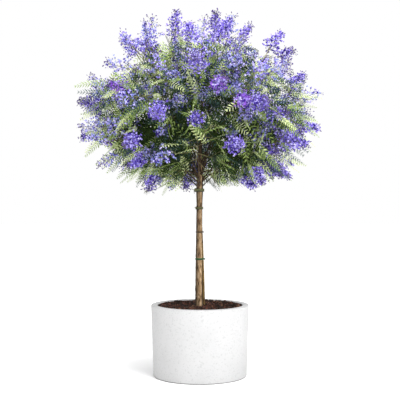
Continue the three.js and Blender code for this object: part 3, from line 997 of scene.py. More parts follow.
def limb_points():
    """Points along the trunk and boughs, with the radius there."""
    heights = np.linspace(GROUND, TRUNK_HIGH.z, 60)
    points, radii = [trunk_axis(heights)], [trunk_radius(heights)]
    for mass in MASSES:
        if mass.tier.bare:
            points.append(curve_at(mass.curve, np.linspace(0, mass.tier.bare, 24)))
            radii.append(np.full(24, LIMB_CLEARANCE["radius"]))
    return np.vstack(points), np.concatenate(radii)


LIMB_POINTS, LIMB_RADII = limb_points()


def is_clear(points):
    """Whether points keep off the trunk and the boughs."""
    apart = np.linalg.norm(points[:, None, :] - LIMB_POINTS[None], axis=2)
    return bool((apart > LIMB_RADII + LIMB_CLEARANCE["gap"]).all())


class Twig(NamedTuple):
    """A twig or shoot. Blooms says whether its shoots may bloom."""

    start: np.ndarray
    tip: np.ndarray
    direction: np.ndarray
    blooms: bool = False


class Frond(NamedTuple):
    """A leaf. Lightness shifts it to the paler tones."""

    root: np.ndarray
    aim: np.ndarray
    upward: np.ndarray
    length: float
    lightness: float = 0.0


class Panicle(NamedTuple):
    """A spray of blossom, by its foot, its way out of the crown and its length."""

    foot: np.ndarray
    out: np.ndarray
    length: float

    def at(self, share):
        """The point that lies a share of the way up the axis."""
        return self.foot + share * self.length * self.out


def upward_at(point):
    return unit(unit(point - CENTRE) + UPRIGHT)


def in_opening(points):
    """Whether points lie in the gap at the front where the fork shows under the crown."""
    points = np.atleast_2d(points)
    over = np.clip(points[:, 2] - OPENING["straight_to"], 0, None)
    half_width = OPENING["half_width"] - OPENING["closing"] * over
    near = np.abs(points[:, 0] - OPENING["middle"]) < half_width
    return bool((near & (points[:, 1] < OPENING["back"])).any())


def is_under(points):
    """Whether points lie under the crown, near the trunk."""
    away = np.hypot(points[..., 0], points[..., 1])
    return (points[..., 2] < UNDER["top"]) & (away < UNDER["half_width"])


def too_wide(tip):
    """Whether a tip lies wider than the crown may be."""
    return bool((np.abs(tip[:2]) > WIDEST).any())


def fitting_frond(root, direction, angle, length, most=1.0, spread=1.0):
    """The first of a few fanned directions and sizes that keeps a leaf in the crown."""
    for ease in LEAF_EASE:
        for turn in LEAF_FAN:
            aim = unit(direction + spread * sideways(direction, angle + turn))
            size = ease * length
            tip = root + size * aim - LEAF_DROOP * size * UPRIGHT
            if crown_depth(tip) < most and not in_opening(lerp(root, tip, WAY_STEPS)):
                return Frond(root, aim, upward_at(root), size)
    return None


def lowness(outward):
    """How far down the crown's lower side a direction from its centre points, from 0 to 1."""
    return float(rise(outward[2], *LOW_BAND))


def rimness(outward):
    """How near a direction is to the crown's lower sides, where the fringe hangs, from 0 to 1."""
    return lowness(outward) * float(rise(outward[2], *RIM_BAND))


def highness(outward):
    """How far up the crown's upper side a direction from its centre points, from 0 to 1."""
    return float(rise(outward[2], *HIGH_BAND))


def leaf_limit(outward, plain, underneath, topped, trimmed):
    """How deep in the crown the leaves have to end that grow in a direction from its centre."""
    limit = lerp(plain, underneath, lowness(outward))
    return limit - topped * highness(outward) - trimmed * rimness(outward)


def bloom_chance(outward, depth):
    """How likely a filling twig blooms: often round the middle, seldom inside or underneath."""
    chance = np.interp(outward[2], BLOOM_HEIGHTS, BLOOM_CHANCES)
    return chance * np.clip(2.2 * depth - 0.75, 0.2, 1)


def rolled(frond, generator, angles=ROLL):
    """The same leaf with its blade turned about its stalk, to one side or the other."""
    roll = generator.uniform(*angles) * generator.choice((-1, 1))
    return frond._replace(upward=turned(frond.upward, frond.aim, roll))


def twig_leaf(root, aim, angle, length, outward, limits, generator):
    """A list of one leaf, or none where it doesn't fit. Low down it's long and keeps to its twig."""
    low = lowness(outward)
    length = length * lerp(1.0, LOW_LEAF, low)
    limit = leaf_limit(outward, *limits)
    frond = fitting_frond(root, aim, angle, length, limit, lerp(1.0, LOW_SPREAD, low))
    return [rolled(frond, generator)] if frond else []


def spray(frond, generator):
    """The slender leaves that stand where the solids have one broad blade."""
    across = unit(np.cross(frond.upward, frond.aim))
    outward = unit(frond.root - CENTRE)
    limit = leaf_limit(outward, *SPRAY_LIMIT)
    slender = lerp(*SPRAY_LENGTHS, lowness(outward))
    for turn, share in SPRAY_FAN:
        turn = turn + SPRAY_STRAY["turn"] * generator.normal()
        aim = math.cos(turn) * frond.aim + math.sin(turn) * across
        length = share * frond.length * generator.uniform(*SPRAY_SIZES) * slender
        root = frond.root + SPRAY_STRAY["root"] * generator.normal(size=3)
        way = lerp(root, root + length * aim, WAY_STEPS)
        if crown_depth(way[-1]) < limit and not in_opening(way):
            yield rolled(Frond(root, aim, frond.upward, length), generator)


def filling_growth(twigs, panicles, settings, generator):
    """Finer twigs that reach from the limbs into the gaps between the solids' own twigs."""
    limbs = [curve_at(mass.curve, np.linspace(0.3, 1, 12)) for mass in MASSES]
    grown = [lerp(twig.start, twig.tip, WAY_STEPS) for twig in twigs]
    starts = np.vstack(limbs + grown)
    depths = crown_depth(starts)
    taken = [panicle.foot for panicle in panicles]
    new_twigs, fronds, new_panicles = [], [], []
    for depth, count in FILLS:
        gap = (0.5 + 0.6 * depth) * settings.spacing
        for k in range(count):
            radial = facing(k * GOLDEN_ANGLE + 7 * depth, 1 - 2 * (k + 0.5) / count)
            radial = unit(radial + FILL_STRAY * generator.normal(size=3))
            reach = depth * generator.uniform(*FILL_DEPTH) / crown_depth(CENTRE + radial)
            tip = CENTRE + reach * radial
            crowded = np.linalg.norm(np.array(taken) - tip, axis=1).min() < gap
            apart = np.linalg.norm(starts - tip, axis=1) + 10 * (depths > depth - FILL_STEP)
            start = starts[int(np.argmin(apart))]
            way = lerp(start, tip, WAY_STEPS)
            far = apart.min() > FILL_LONGEST
            if crowded or far or in_opening(way) or not is_clear(way[1:]):
                continue
            direction = unit(tip - start)
            new_twigs.append(Twig(start, tip, direction))
            taken.append(tip)
            out = unit(1.6 * radial + direction)
            if generator.random() < bloom_chance(radial, depth):
                length = generator.uniform(*FILL_BLOOM) * (1 if depth > 0.7 else 0.8)
                new_panicles.append(Panicle(tip - PANICLE_SUNK * length * out, out, length))
            for j in range(0 if radial[2] < -0.8 else settings.filling_leaves):
                root = lerp(start, tip, generator.uniform(*FILL_LEAF_SPAN))
                length = generator.uniform(*FILL_LEAF)
                angle = j * GOLDEN_ANGLE + generator.uniform(0, 2)
                fronds += twig_leaf(root, out, angle, length, radial, FILL_LIMIT, generator)
    return new_twigs, fronds, new_panicles


def fringe_growth(twigs, settings, generator):
    """Long leaves that reach out sideways and hang over, round the lower side except in front."""
    points = np.vstack([lerp(twig.start, twig.tip, WAY_STEPS) for twig in twigs])
    fronds = []
    for k in range(settings.fringe):
        up = lerp(*FRINGE_HEIGHTS, (k + 0.5) / settings.fringe)
        radial = facing(k * GOLDEN_ANGLE, up)
        if up > -0.6 and radial[1] < 0 and abs(radial[0]) < FRINGE_FRONT * math.sqrt(1 - up**2):
            continue
        length = generator.uniform(*FRINGE_LENGTH)
        tip = CENTRE + generator.uniform(*FRINGE_DEPTH) / crown_depth(CENTRE + radial) * radial
        tip = np.clip(tip, FRINGE_LOW, FRINGE_HIGH)
        near = tip - length * unit(radial - FRINGE_HANG * UPRIGHT)
        root = points[int(np.argmin(np.linalg.norm(points - near, axis=1)))]
        reach = tip + FRINGE_DROOP * length * UPRIGHT - root
        length = float(np.linalg.norm(reach))
        least, most = FRINGE_REACH
        if least < length < most and not in_opening(lerp(root, tip, WAY_STEPS)):
            frond = Frond(root, unit(reach), upward_at(root), length, settings.fringe_lightness)
            fronds.append(rolled(frond, generator, FRINGE_ROLL))
    return fronds


def grown_mass(index):
    """The twigs, leaves and panicles of one mass, by the rule that its solid followed."""
    mass = MASSES[index]
    kind, bare = mass.tier.kind, mass.tier.bare
    random = seeded(index)
    twigs, fronds, panicles = [], [], []
    for i in range(kind.twigs + 1):
        share = (i + TWIG_GAP) / (kind.twigs + TWIG_GAP)
        start = curve_at(mass.curve, lerp(bare, 1, min(share, 0.98)))
        axis = tangent_at(mass.curve, lerp(bare, 1, share))
        spread = lerp(*kind.spread, share) if i < kind.twigs else 0
        side = sideways(axis, i * GOLDEN_ANGLE + next(random))
        bloom = PANICLE_LENGTH * lerp(*PANICLE_SIZES, next(random)) if kind.blooms else 0
        wanted = kind.twig_length * lerp(*TWIG_SIZES, next(random))
        turns = [next(random) for _ in range(kind.leaves)]
        sizes = [lerp(*LEAF_SIZES, next(random)) for _ in range(kind.leaves)]
        kept = (1 - PANICLE_SUNK) * bloom
        aims = [math.cos(spread * ease) * axis + math.sin(spread * ease) * side for ease in TWIG_EASE]
        rooms = [room_in(index, start, aim, wanted + kept) - kept for aim in aims]
        found = [(aim, room) for aim, room in zip(aims, rooms) if room > SHORTEST_TWIG]
        if not found:
            continue
        direction, room = found[0]
        tip = start + room * direction
        if not is_clear(lerp(start, tip, TWIG_STEPS)):
            continue
        twigs.append(Twig(start, tip, direction, kind.blooms))
        if kind.blooms:
            out = unit(unit(tip - CENTRE) + direction)
            panicles.append(Panicle(tip - PANICLE_SUNK * bloom * out, out, bloom))
        for j in range(kind.leaves):
            root = lerp(start, tip, (j + 0.6) / (kind.leaves + 0.5))
            angle = j * math.pi + i * GOLDEN_ANGLE + 1.5 * turns[j]
            frond = fitting_frond(root, direction, angle, sizes[j] * kind.leaf_length)
            fronds.extend([frond] if frond else [])
    return twigs, fronds, panicles


def finer_growth(twig, settings, generator):
    """Shoots off a twig, each with leaves along it, and some with a small panicle at their tip."""
    shoots, fronds, panicles = [], [], []
    for j in range(settings.shoots):
        share = lerp(*SHOOT_SPAN, (j + generator.random()) / settings.shoots)
        start = lerp(twig.start, twig.tip, share)
        side = sideways(twig.direction, j * GOLDEN_ANGLE + generator.uniform(0, 0.9))
        lean = generator.uniform(*SHOOT_LEAN)
        outward = unit(start - CENTRE)
        direction = math.cos(lean) * twig.direction + math.sin(lean) * side
        direction = unit(direction + settings.outward * outward)
        tip = start + generator.uniform(*SHOOT_LENGTH) * direction
        way = lerp(start, tip, WAY_STEPS)
        if crown_depth(tip) > SHOOT_DEPTH or in_opening(way) or not is_clear(way[1:]):
            continue
        shoots.append(Twig(start, tip, direction))
        aim = unit(direction + 0.6 * settings.outward * outward)
        for k in range(settings.shoot_leaves):
            root = lerp(start, tip, (k + 0.7) / settings.shoot_leaves)
            length = generator.uniform(*SHOOT_LEAF)
            angle = k * math.pi + generator.uniform(0, 2)
            fronds += twig_leaf(root, aim, angle, length, outward, SHOOT_LIMIT, generator)
        out = unit(1.3 * unit(tip - CENTRE) + direction)
        length = generator.uniform(*SHOOT_BLOOM)
        if twig.blooms and generator.random() < settings.small_panicles:
            if crown_depth(tip + length * out) < OUTER_DEPTH:
                panicles.append(Panicle(tip - 0.2 * length * out, out, length))
    return shoots, fronds, panicles


# Leaves


def leaflet():
    """A leaflet along +X: a diamond, widest near its foot."""
    bm = bmesh.new()
    bmesh.ops.create_circle(bm, segments=4, radius=0.5, cap_ends=True)
    bmesh.ops.translate(bm, verts=bm.verts, vec=(0.5, 0, 0))
    for vert in bm.verts:
        if 0.1 < vert.co.x < 0.9:
            vert.co.x = 0.42
    bmesh.ops.scale(bm, verts=bm.verts, vec=(1, 0.5, 1))
    return Shape.of(bm)


def along_x(shares):
    """Points on the X axis."""
    return shares[:, None] * np.array([1.0, 0, 0])


def flat_frames(places, angles, sizes, tilt=0.0):
    """Frames in the XY plane, turned from +X by angles and tilted about their own length."""
    directions = facing(angles)
    across = np.cross(UPRIGHT, directions)
    return aimed(places, directions, UPRIGHT + np.asarray(tilt)[..., None] * across, sizes)


def pinna(pairs, scale):
    """One of a leaf's side branches, along +X: a rib with pairs of leaflets and one at its tip."""
    blade = leaflet()
    shares = np.repeat((np.arange(pairs) + 0.6) / (pairs + 0.3), 2)
    sides = np.tile([-1.0, 1.0], pairs)
    sizes = scale * lerp(*LEAFLET_SIZES, shares) * np.where(shares < 0.15, 0.8, 1)
    frames = flat_frames(along_x(shares), sides * LEAFLET_ANGLE, sizes)
    tip = flat_frames(along_x(np.array([0.93])), np.zeros(1), np.array([0.2 * scale]))
    rib = flat_frames(np.zeros((1, 3)), np.zeros(1), np.array([[1, 0.5, 1]]))
    made = blade.placed(np.concatenate([frames, tip, rib]))
    points = made.points.copy()
    points[:, 2] -= 0.12 * points[:, 0] ** 2
    return made.at(points)


def plain_pinna():
    """The same as one narrow blade, for the short leaves in the crown."""
    bm = bmesh.new()
    bmesh.ops.create_circle(bm, segments=6, radius=0.5, cap_ends=True)
    bmesh.ops.translate(bm, verts=bm.verts, vec=(0.5, 0, 0))
    bmesh.ops.scale(bm, verts=bm.verts, vec=(1, 0.27, 1))
    return Shape.of(bm)


def feathery_leaf(generator, blade, pairs, width):
    """A whole leaf of unit length along +X: pinnae in pairs, shorter towards the tip."""
    shares = np.repeat(np.linspace(*PINNA_SPAN, pairs), 2)
    sides = np.tile([-1.0, 1.0], pairs)
    reach = width * np.interp(shares, *PINNA_OUTLINE)
    reach = reach * generator.uniform(0.88, 1.1, len(shares))
    opened = lerp(*PINNA_ANGLES, shares) + generator.uniform(-4, 4, len(shares))
    tilt = sides * generator.uniform(0.0, 0.5, len(shares))
    frames = flat_frames(along_x(shares), sides * np.radians(opened), reach, tilt)
    tip = flat_frames(along_x(np.array([0.93])), np.zeros(1), np.array([0.5 * width]))
    pinnae = blade.placed(np.concatenate([frames, tip]))
    rib = tapered(tube(3, 3), along_x(np.array([0, 0.5, 1])), *RIB_WIDTHS)
    leaf = Shape.joined([pinnae, rib])
    points = leaf.points.copy()
    twist = generator.uniform(-0.5, 0.5) * points[:, 0]
    turned_y = points[:, 1] * np.cos(twist) - points[:, 2] * np.sin(twist)
    turned_z = points[:, 1] * np.sin(twist) + points[:, 2] * np.cos(twist)
    points[:, 1] = turned_y + generator.uniform(-0.12, 0.12) * points[:, 0] ** 2
    points[:, 2] = turned_z - generator.uniform(0.1, 0.3) * points[:, 0] ** 2
    return leaf.at(points)


def column(rows, name):
    """One field of many leaves, as an array."""
    return np.array([getattr(row, name) for row in rows])


def outer_and_long(middles, lengths, most):
    """Marks the outermost and longest leaves, as many as that."""
    order = np.argsort(-crown_depth(middles) - 3 * lengths)
    marks = np.zeros(len(lengths), bool)
    marks[order[:most]] = True
    return marks


def tone_ranks(fronds, middles, lengths, generator):
    """Where each leaf stands from the palest, outside and on top, at 0 to the deepest at 1."""
    # painted light and shade: paler outside and on top, deeper inside and under the crown, with a random
    # spread
    high = rise(middles[:, 2] - CENTRE[2], *HIGH_LEAVES)
    long = rise(lengths, *LONG_LEAVES)
    mixed = generator.normal(size=len(fronds)) * lerp(*TONE_MIXING, long)
    scores = crown_depth(middles) + mixed + TONE_SHIFTS["high"] * high + TONE_SHIFTS["long"] * long
    scores = scores + column(fronds, "lightness") + TONE_SHIFTS["under"] * is_under(middles)
    return np.argsort(np.argsort(-scores)) / len(fronds)


def add_leaves(fronds, settings, generator):
    """Joins the leaves by tone, pale outside to dark inside. The outer, long ones are finely cut."""
    long_leaf = (pinna(settings.leaflet_pairs, 0.5), settings.leaf_pairs, settings.leaf_width)
    tuft = (plain_pinna(), PLAIN_PAIRS, settings.tuft_width)
    fine = [feathery_leaf(generator, *long_leaf) for _ in range(FINE_KINDS)]
    plain = [feathery_leaf(generator, *tuft) for _ in range(PLAIN_KINDS)]
    lengths = column(fronds, "length")
    middles = column(fronds, "root") + 0.6 * lengths[:, None] * column(fronds, "aim")
    finely = outer_and_long(middles, lengths, settings.fine_leaves)
    ranks = tone_ranks(fronds, middles, lengths, generator)
    bounds = (0.0, settings.pale_share, settings.fresh_share, settings.bluish_share, 1.0)
    for tone, least, most in zip(LEAF_TONES, bounds, bounds[1:]):
        colour = tuple(getattr(settings, f"{tone}_leaf"))
        material = leaf_look(f"leaf_{tone}", colour, settings.leaf_glow)
        for cut, kinds, mine in (("fine", fine, finely), ("plain", plain, ~finely)):
            picked = np.flatnonzero(mine & (ranks >= least) & (ranks < most))
            members = [fronds[index] for index in picked]
            frames = aimed(*(column(members, name) for name in ("root", "aim", "upward", "length")))
            parts = [kind.placed(frames[i :: len(kinds)]) for i, kind in enumerate(kinds)]
            add_piece(f"leaves_{tone}_{cut}", Shape.joined(parts), material, "leaf")


# Blossom

TO_X = Quaternion((0, 1, 0), math.pi / 2).to_matrix()


def floret():
    """A trumpet along +X, of unit length, that opens into five pleated lobes."""
    bm = bmesh.new()
    bmesh.ops.create_cone(bm, segments=10, radius1=0.02, radius2=0.55, depth=1, cap_ends=False)
    bmesh.ops.translate(bm, verts=bm.verts, vec=(0, 0, 0.5))
    rim = [vert for vert in bm.verts if vert.co.z > 0.9]
    rim.sort(key=lambda vert: math.atan2(vert.co.y, vert.co.x))
    for vert in rim[::2]:
        vert.co = Vector((0.5 * vert.co.x, 0.5 * vert.co.y, 0.68))
    foot = [vert for vert in bm.verts if vert.co.z < 0.1]
    bmesh.ops.pointmerge(bm, verts=foot, merge_co=(0, 0, 0))
    bmesh.ops.rotate(bm, verts=bm.verts, cent=(0, 0, 0), matrix=TO_X)
    return Shape.of(bm)


def bud():
    """A bud along +X, of unit length."""
    bm = bmesh.new()
    bmesh.ops.create_uvsphere(bm, u_segments=4, v_segments=3, radius=0.5)
    bmesh.ops.scale(bm, verts=bm.verts, vec=(0.62, 0.62, 1))
    bmesh.ops.translate(bm, verts=bm.verts, vec=(0, 0, 0.5))
    bmesh.ops.rotate(bm, verts=bm.verts, cent=(0, 0, 0), matrix=TO_X)
    return Shape.of(bm)


class Blossom:
    """Florets, buds and stalks, gathered by tone until they are joined."""

    def __init__(self):
        self.florets = {tone: [] for tone in FLORET_TONES}
        self.buds = []
        self.stalks = []


def add_panicle(panicle, blossom, settings, generator):
    """Side branches spiral up an axis, with florets along them and buds towards its tip."""
    depth = float(crown_depth(panicle.at(0.7)))
    high = highness(unit(panicle.foot - CENTRE))
    tones, richness = panicle_tones(depth, high, generator)
    radius = PANICLE_WIDTH * panicle.length * generator.uniform(0.8, 1.05)
    radius = radius * (0.9 if richness > 1 else 1.0)
    branches = max(7, round(richness * settings.branches * panicle.length / PANICLE_LENGTH))
    budding = BUDS_FROM - settings.budding * generator.random()
    phase = generator.uniform(0, 2 * math.pi)
    blossom.stalks.append((panicle.foot, panicle.at(BRANCH_SPAN[1]), STALK_RADII["axis"]))
    for k in range(branches):
        share = lerp(*BRANCH_SPAN, (k + 0.5) / branches)
        origin = panicle.at(share)
        side = sideways(panicle.out, k * GOLDEN_ANGLE + phase)
        lean = math.radians(lerp(*BRANCH_LEANS, share))
        aim = math.cos(lean) * panicle.out + math.sin(lean) * side
        reach = radius * (1.25 - 0.85 * share) * generator.uniform(*BRANCH_SIZES)
        tip = origin + reach * aim
        if too_wide(tip) or in_opening(lerp(origin, tip, WAY_STEPS)):
            continue
        blossom.stalks.append((origin, tip, STALK_RADII["branch"]))
        count = max(3, round(settings.florets * (1.15 - 0.5 * share)))
        shares = np.linspace(generator.uniform(0.2, 0.5), 1, count)
        strays = FLORET_STRAY["place"] * generator.normal(size=(count, 3))
        roots = lerp(origin, tip, shares[:, None]) + strays
        aims = unit(aim + FLORET_STRAY["aim"] * generator.normal(size=(count, 3)))
        ages = 0.55 * share + 0.45 * shares + FLORET_STRAY["age"] * generator.normal(size=count)
        dealt = generator.choice(tones, count, p=TONE_SHARES)
        for root, way, age, tone in zip(roots, aims, ages, dealt):
            if too_wide(root) or crown_depth(root) > OUTER_DEPTH:
                continue
            if age > budding:
                spot = root + generator.uniform(*BUD_STALK) * way
                blossom.stalks.append((root, spot, STALK_RADII["bud"]))
                blossom.buds.append((spot, way, generator.uniform(*BUD_SIZE)))
            else:
                blossom.florets[tone].append((root, way, generator.uniform(*FLORET_SIZE)))


def panicle_tones(depth, high, generator):
    """A panicle's tones, the commonest first, and how rich it is in florets."""
    # inside the crown the slate tones are painted shade
    if depth < INNER_DEPTH:
        return ("slate", "lavender", "deep"), 0.75
    # high up the paler lavender tones are painted light from above
    if generator.random() < 0.35 * high:
        return ("lavender", "slate", "violet"), 0.6
    pick = generator.random()
    if pick < 0.12 and high < 0.3:
        return ("magenta", "lavender", "deep"), 2.0
    if pick < 0.5:
        return ("violet", "lavender", "deep"), lerp(1.9, 1.3, high)
    if pick < 0.62:
        return ("deep", "violet", "lavender"), 1.4
    return ("slate", "lavender", "deep"), 0.65


def scattered(pattern, placings, generator):
    """Copies of a pattern at (place, direction, size) triples, each turned at random."""
    spots, aims, sizes = (np.array(part) for part in zip(*placings))
    return pattern.placed(aimed(spots, aims, generator.normal(size=spots.shape), sizes))


def sticks(rows):
    """Thin three-sided sticks between (start, end, radius) triples."""
    starts, ends, radii = (np.array(part) for part in zip(*rows))
    ways = ends - starts
    lengths = np.linalg.norm(ways, axis=1)
    bm = bmesh.new()
    bmesh.ops.create_cone(bm, segments=3, radius1=1, radius2=0.7, depth=1, cap_ends=False)
    bmesh.ops.translate(bm, verts=bm.verts, vec=(0, 0, 0.5))
    bmesh.ops.rotate(bm, verts=bm.verts, cent=(0, 0, 0), matrix=TO_X)
    sizes = np.stack([lengths, radii, radii], axis=1)
    upwards = np.where(np.abs(unit(ways)[:, 2:]) > 0.9, [[1.0, 0, 0]], [[0, 0, 1.0]])
    return Shape.of(bm).placed(aimed(starts, ways, upwards, sizes))


def add_blossom(panicles, settings, generator):
    """Florets joined by tone, then the buds, then all the stalks."""
    blossom = Blossom()
    for panicle in panicles:
        add_panicle(panicle, blossom, settings, generator)
    flower = floret()
    for tone, placings in blossom.florets.items():
        material = petal_look(f"petals_{tone}", tuple(getattr(settings, tone)), settings.petal_glow)
        add_piece(f"florets_{tone}", scattered(flower, placings, generator), material, "blossom")
    skin = petal_look("bud_skin", tuple(settings.bud), 0.1)
    add_piece("buds", scattered(bud(), blossom.buds, generator), skin, "blossom")
    stalk_look = Look("stalks", Base_Color=tuple(settings.stalk), Roughness=0.7)
    add_piece("flower_stalks", sticks(blossom.stalks), stalk_look.material, "blossom")


# Boughs and twigs


def add_limbs(settings):
    """The boughs, from their collars on the trunk to the tips of the stems that they turn into."""
    pattern = tube(14, 56)
    shapes = []
    for index, mass in enumerate(MASSES):
        vigour = lerp(*VIGOUR, next(seeded(BOUGH_SEED + index)))
        thick = vigour * (1 if mass.tier.bare else LEAFY_LIMB) * settings.bough_radius
        curve = mass.curve
        length = np.linalg.norm(curve[2] - curve[0])

        def radius_at(along, angle):
            past = np.clip(along * length - BOUGH_COLLAR["full_to"], 0, None)
            collar = BOUGH_COLLAR["swell"] * np.exp(-past / BOUGH_COLLAR["fade"])
            return lerp(thick, BOUGH_TIP, along**0.8) + collar

        limb = swept(pattern, lambda along: curve_at(curve, along), radius_at)
        relief = bark_relief(limb.points, 0.35 * settings.relief, 20 + index)
        middle = curve_at(curve, pattern.points[:, 2])
        shapes.append(limb.at(limb.points + unit(limb.points - middle) * relief[:, None]))
    tones = [linear(20, 15, 9), linear(52, 39, 25), linear(84, 66, 44), linear(64, 42, 27)]
    material = bark_look("bough_bark", *tones)
    add_piece("boughs", Shape.joined(shapes), material, "bark", BOUGH_NODES, smooth=True)


def add_twigs(twigs, shoots):
    """Twigs and shoots, each sagging a little between its ends."""
    shapes = []
    sorts = ((twigs, TWIG_RADIUS, tube(5, 5)), (shoots, SHOOT_RADIUS, tube(3, 3)))
    for group, thick, pattern in sorts:
        for twig in group:
            sag = TWIG_SAG * np.linalg.norm(twig.tip - twig.start) * UPRIGHT
            curve = (twig.start, (twig.start + twig.tip) / 2 - sag, twig.tip)
            shapes.append(tapered(pattern, curve, thick, TWIG_TAPER * thick))
    look = Look("twig_bark", Roughness=0.8, Specular_IOR_Level=0.25)
    flecks = look.noise(240, detail=3.0)
    tone = look.ramp(flecks, (0.35, linear(74, 72, 46)), (0.65, linear(128, 124, 84)))
    look.set("Base Color", tone)
    add_piece("twigs", Shape.joined(shapes), look.material, "leaf", MASS_NODES, smooth=True)


def thinned(panicles, settings, generator):
    """The panicles, without those too near to another and without some under the crown."""
    kept, middles = [], []
    for panicle in panicles:
        middle = panicle.at(0.6)
        apart = settings.apart * lerp(1.0, 1.4, highness(unit(middle - CENTRE)))
        near = any(np.linalg.norm(middle - other) < apart for other in middles)
        low = 1.0 if is_under(panicle.foot) else 0.7 * lowness(unit(middle - CENTRE))
        bare = generator.random() < settings.bare_below * low
        if not near and not bare:
            kept.append(panicle)
            middles.append(middle)
    return kept


def lowered(panicle):
    """The panicle, drawn back along its stalk where its tip would stand too high."""
    over = max(0, panicle.at(1)[2] - TALLEST)
    return panicle._replace(foot=panicle.foot - over * panicle.out)


def build_crown(settings):
    """Boughs, twigs, leaves and blossom, carried on from the solids' own twigs."""
    generator = np.random.default_rng(settings.seed)
    twigs, shoots, fronds, panicles = [], [], [], []
    for index in range(len(MASSES)):
        own_twigs, own_fronds, own_panicles = grown_mass(index)
        twigs += own_twigs
        fronds += [leaf for frond in own_fronds for leaf in spray(frond, generator)]
        panicles += own_panicles
        for twig in own_twigs:
            more_shoots, more_fronds, more_panicles = finer_growth(twig, settings, generator)
            shoots += more_shoots
            fronds += more_fronds
            panicles += more_panicles
    more_twigs, more_fronds, more_panicles = filling_growth(twigs, panicles, settings, generator)
    shoots += more_twigs
    fronds += more_fronds + fringe_growth(twigs + shoots, settings, generator)
    panicles += more_panicles
    panicles = [lowered(one) for one in thinned(panicles, settings, generator)]
    panicles = [one for one in panicles if not too_wide(one.at(1))]
    fronds = [one for one in fronds if not too_wide(one.root + one.length * one.aim)]
    add_limbs(settings)
    add_twigs(twigs, shoots)
    add_leaves(fronds, settings, generator)
    add_blossom(panicles, settings, generator)


# The studio


def build_studio(settings):
    """A pale floor, a soft key light from the front right, an even white surround and the camera."""
    bm = bmesh.new()
    bmesh.ops.create_circle(bm, segments=64, radius=FLOOR_RADIUS, cap_ends=True)
    mesh = Shape.of(bm).mesh("floor")
    floor = bpy.data.objects.new("floor", mesh)
    bpy.context.scene.collection.objects.link(floor)
    look = Look("floor_paper", Base_Color=(0.93, 0.93, 0.93), Roughness=0.9, Specular_IOR_Level=0.1)
    away = look.add("ShaderNodeVectorMath", {"operation": "LENGTH"}, {0: look.place}, output=1)
    near, far = (POT_HIGH.x + gap for gap in GLOW_SPAN)
    look.set("Emission Color", look.ramp(away, (near, BLACK), (far, WHITE)))
    look.set("Emission Strength", settings.floor_glow)
    mesh.materials.append(look.material)
    floor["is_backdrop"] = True

    world = bpy.data.worlds.new("studio")
    world.use_nodes = True
    surround = world.node_tree.nodes["Background"]
    surround.inputs["Color"].default_value = (1, 1, 1, 1)
    surround.inputs["Strength"].default_value = settings.surround
    bpy.context.scene.world = world
    bpy.context.scene.view_settings.view_transform = "Standard"

    for name, place, size in LAMPS:
        lamp = bpy.data.lights.new(name, "AREA")
        lamp.shape = "DISK"
        lamp.size = size
        lamp.energy = getattr(settings, name)
        light = bpy.data.objects.new(name, lamp)
        light.location = place
        light.rotation_euler = (LAMPS_AIM - Vector(place)).to_track_quat("-Z", "Y").to_euler()
        bpy.context.scene.collection.objects.link(light)

    lens = bpy.data.cameras.new("camera")
    lens.sensor_width = 36
    lens.lens = lens.sensor_width * settings.distance / settings.frame_width
    camera = bpy.data.objects.new("camera", lens)
    camera.location = (0, -settings.distance, settings.eye_height)
    camera.rotation_euler = (math.pi / 2, 0, 0)
    bpy.context.scene.collection.objects.link(camera)
    bpy.context.scene.camera = camera


# What a user may change


def colour_setting(name, description, default):
    return FloatVectorProperty(
        name=name, description=description, default=default, size=3, min=0, max=1, subtype="COLOR"
    )


def size_setting(name, description, default):
    return FloatProperty(
        name=name, description=description, default=default, min=0, unit="LENGTH", precision=4
    )


def share_setting(name, description, default):
    return FloatProperty(
        name=name, description=description, default=default, min=0, max=1, subtype="FACTOR"
    )


def count_setting(name, description, default):
    return IntProperty(name=name, description=description, default=default, min=1)


class PlanterSettings(bpy.types.PropertyGroup):
    """The planter and its soil."""

    edge: size_setting("Rounding", "Radius of the rounded lip", 0.007)
    wall: size_setting("Wall", "Thickness of the wall", 0.037)
    taper: size_setting("Taper", "How much narrower the foot is, from the axis out", 0.013)
    unevenness: size_setting("Unevenness", "How far the cast wall strays", 0.0006)
    segments: count_setting("Segments", "Facets round the planter", 128)
    stone: colour_setting("Stone", "Colour of the cast stone", linear(186, 186, 186))
    fleck: colour_setting("Flecks", "Colour of the grain and pinholes", linear(154, 154, 155))
    lumps: size_setting("Lumps", "Height of the lumps of soil", 0.005)
    heap: size_setting("Heap", "How much higher the soil lies at the wall", 0.004)
    chips: count_setting("Chips", "How many dark bark chips lie on the soil", 520)
    seed: count_setting("Seed", "Changes where the chips lie", 11)


class BarkSettings(bpy.types.PropertyGroup):
    """The trunk, the side stem and their ties."""

    sides: count_setting("Sides", "Facets round the trunk", 56)
    rings: count_setting("Rings", "Rings of facets up the trunk", 420)
    relief: size_setting("Relief", "Depth of the bark's cracks", 0.0011)
    tie_scale: FloatProperty(name="Tie scale", description="Thickness of the ties", default=1.0, min=0.2)


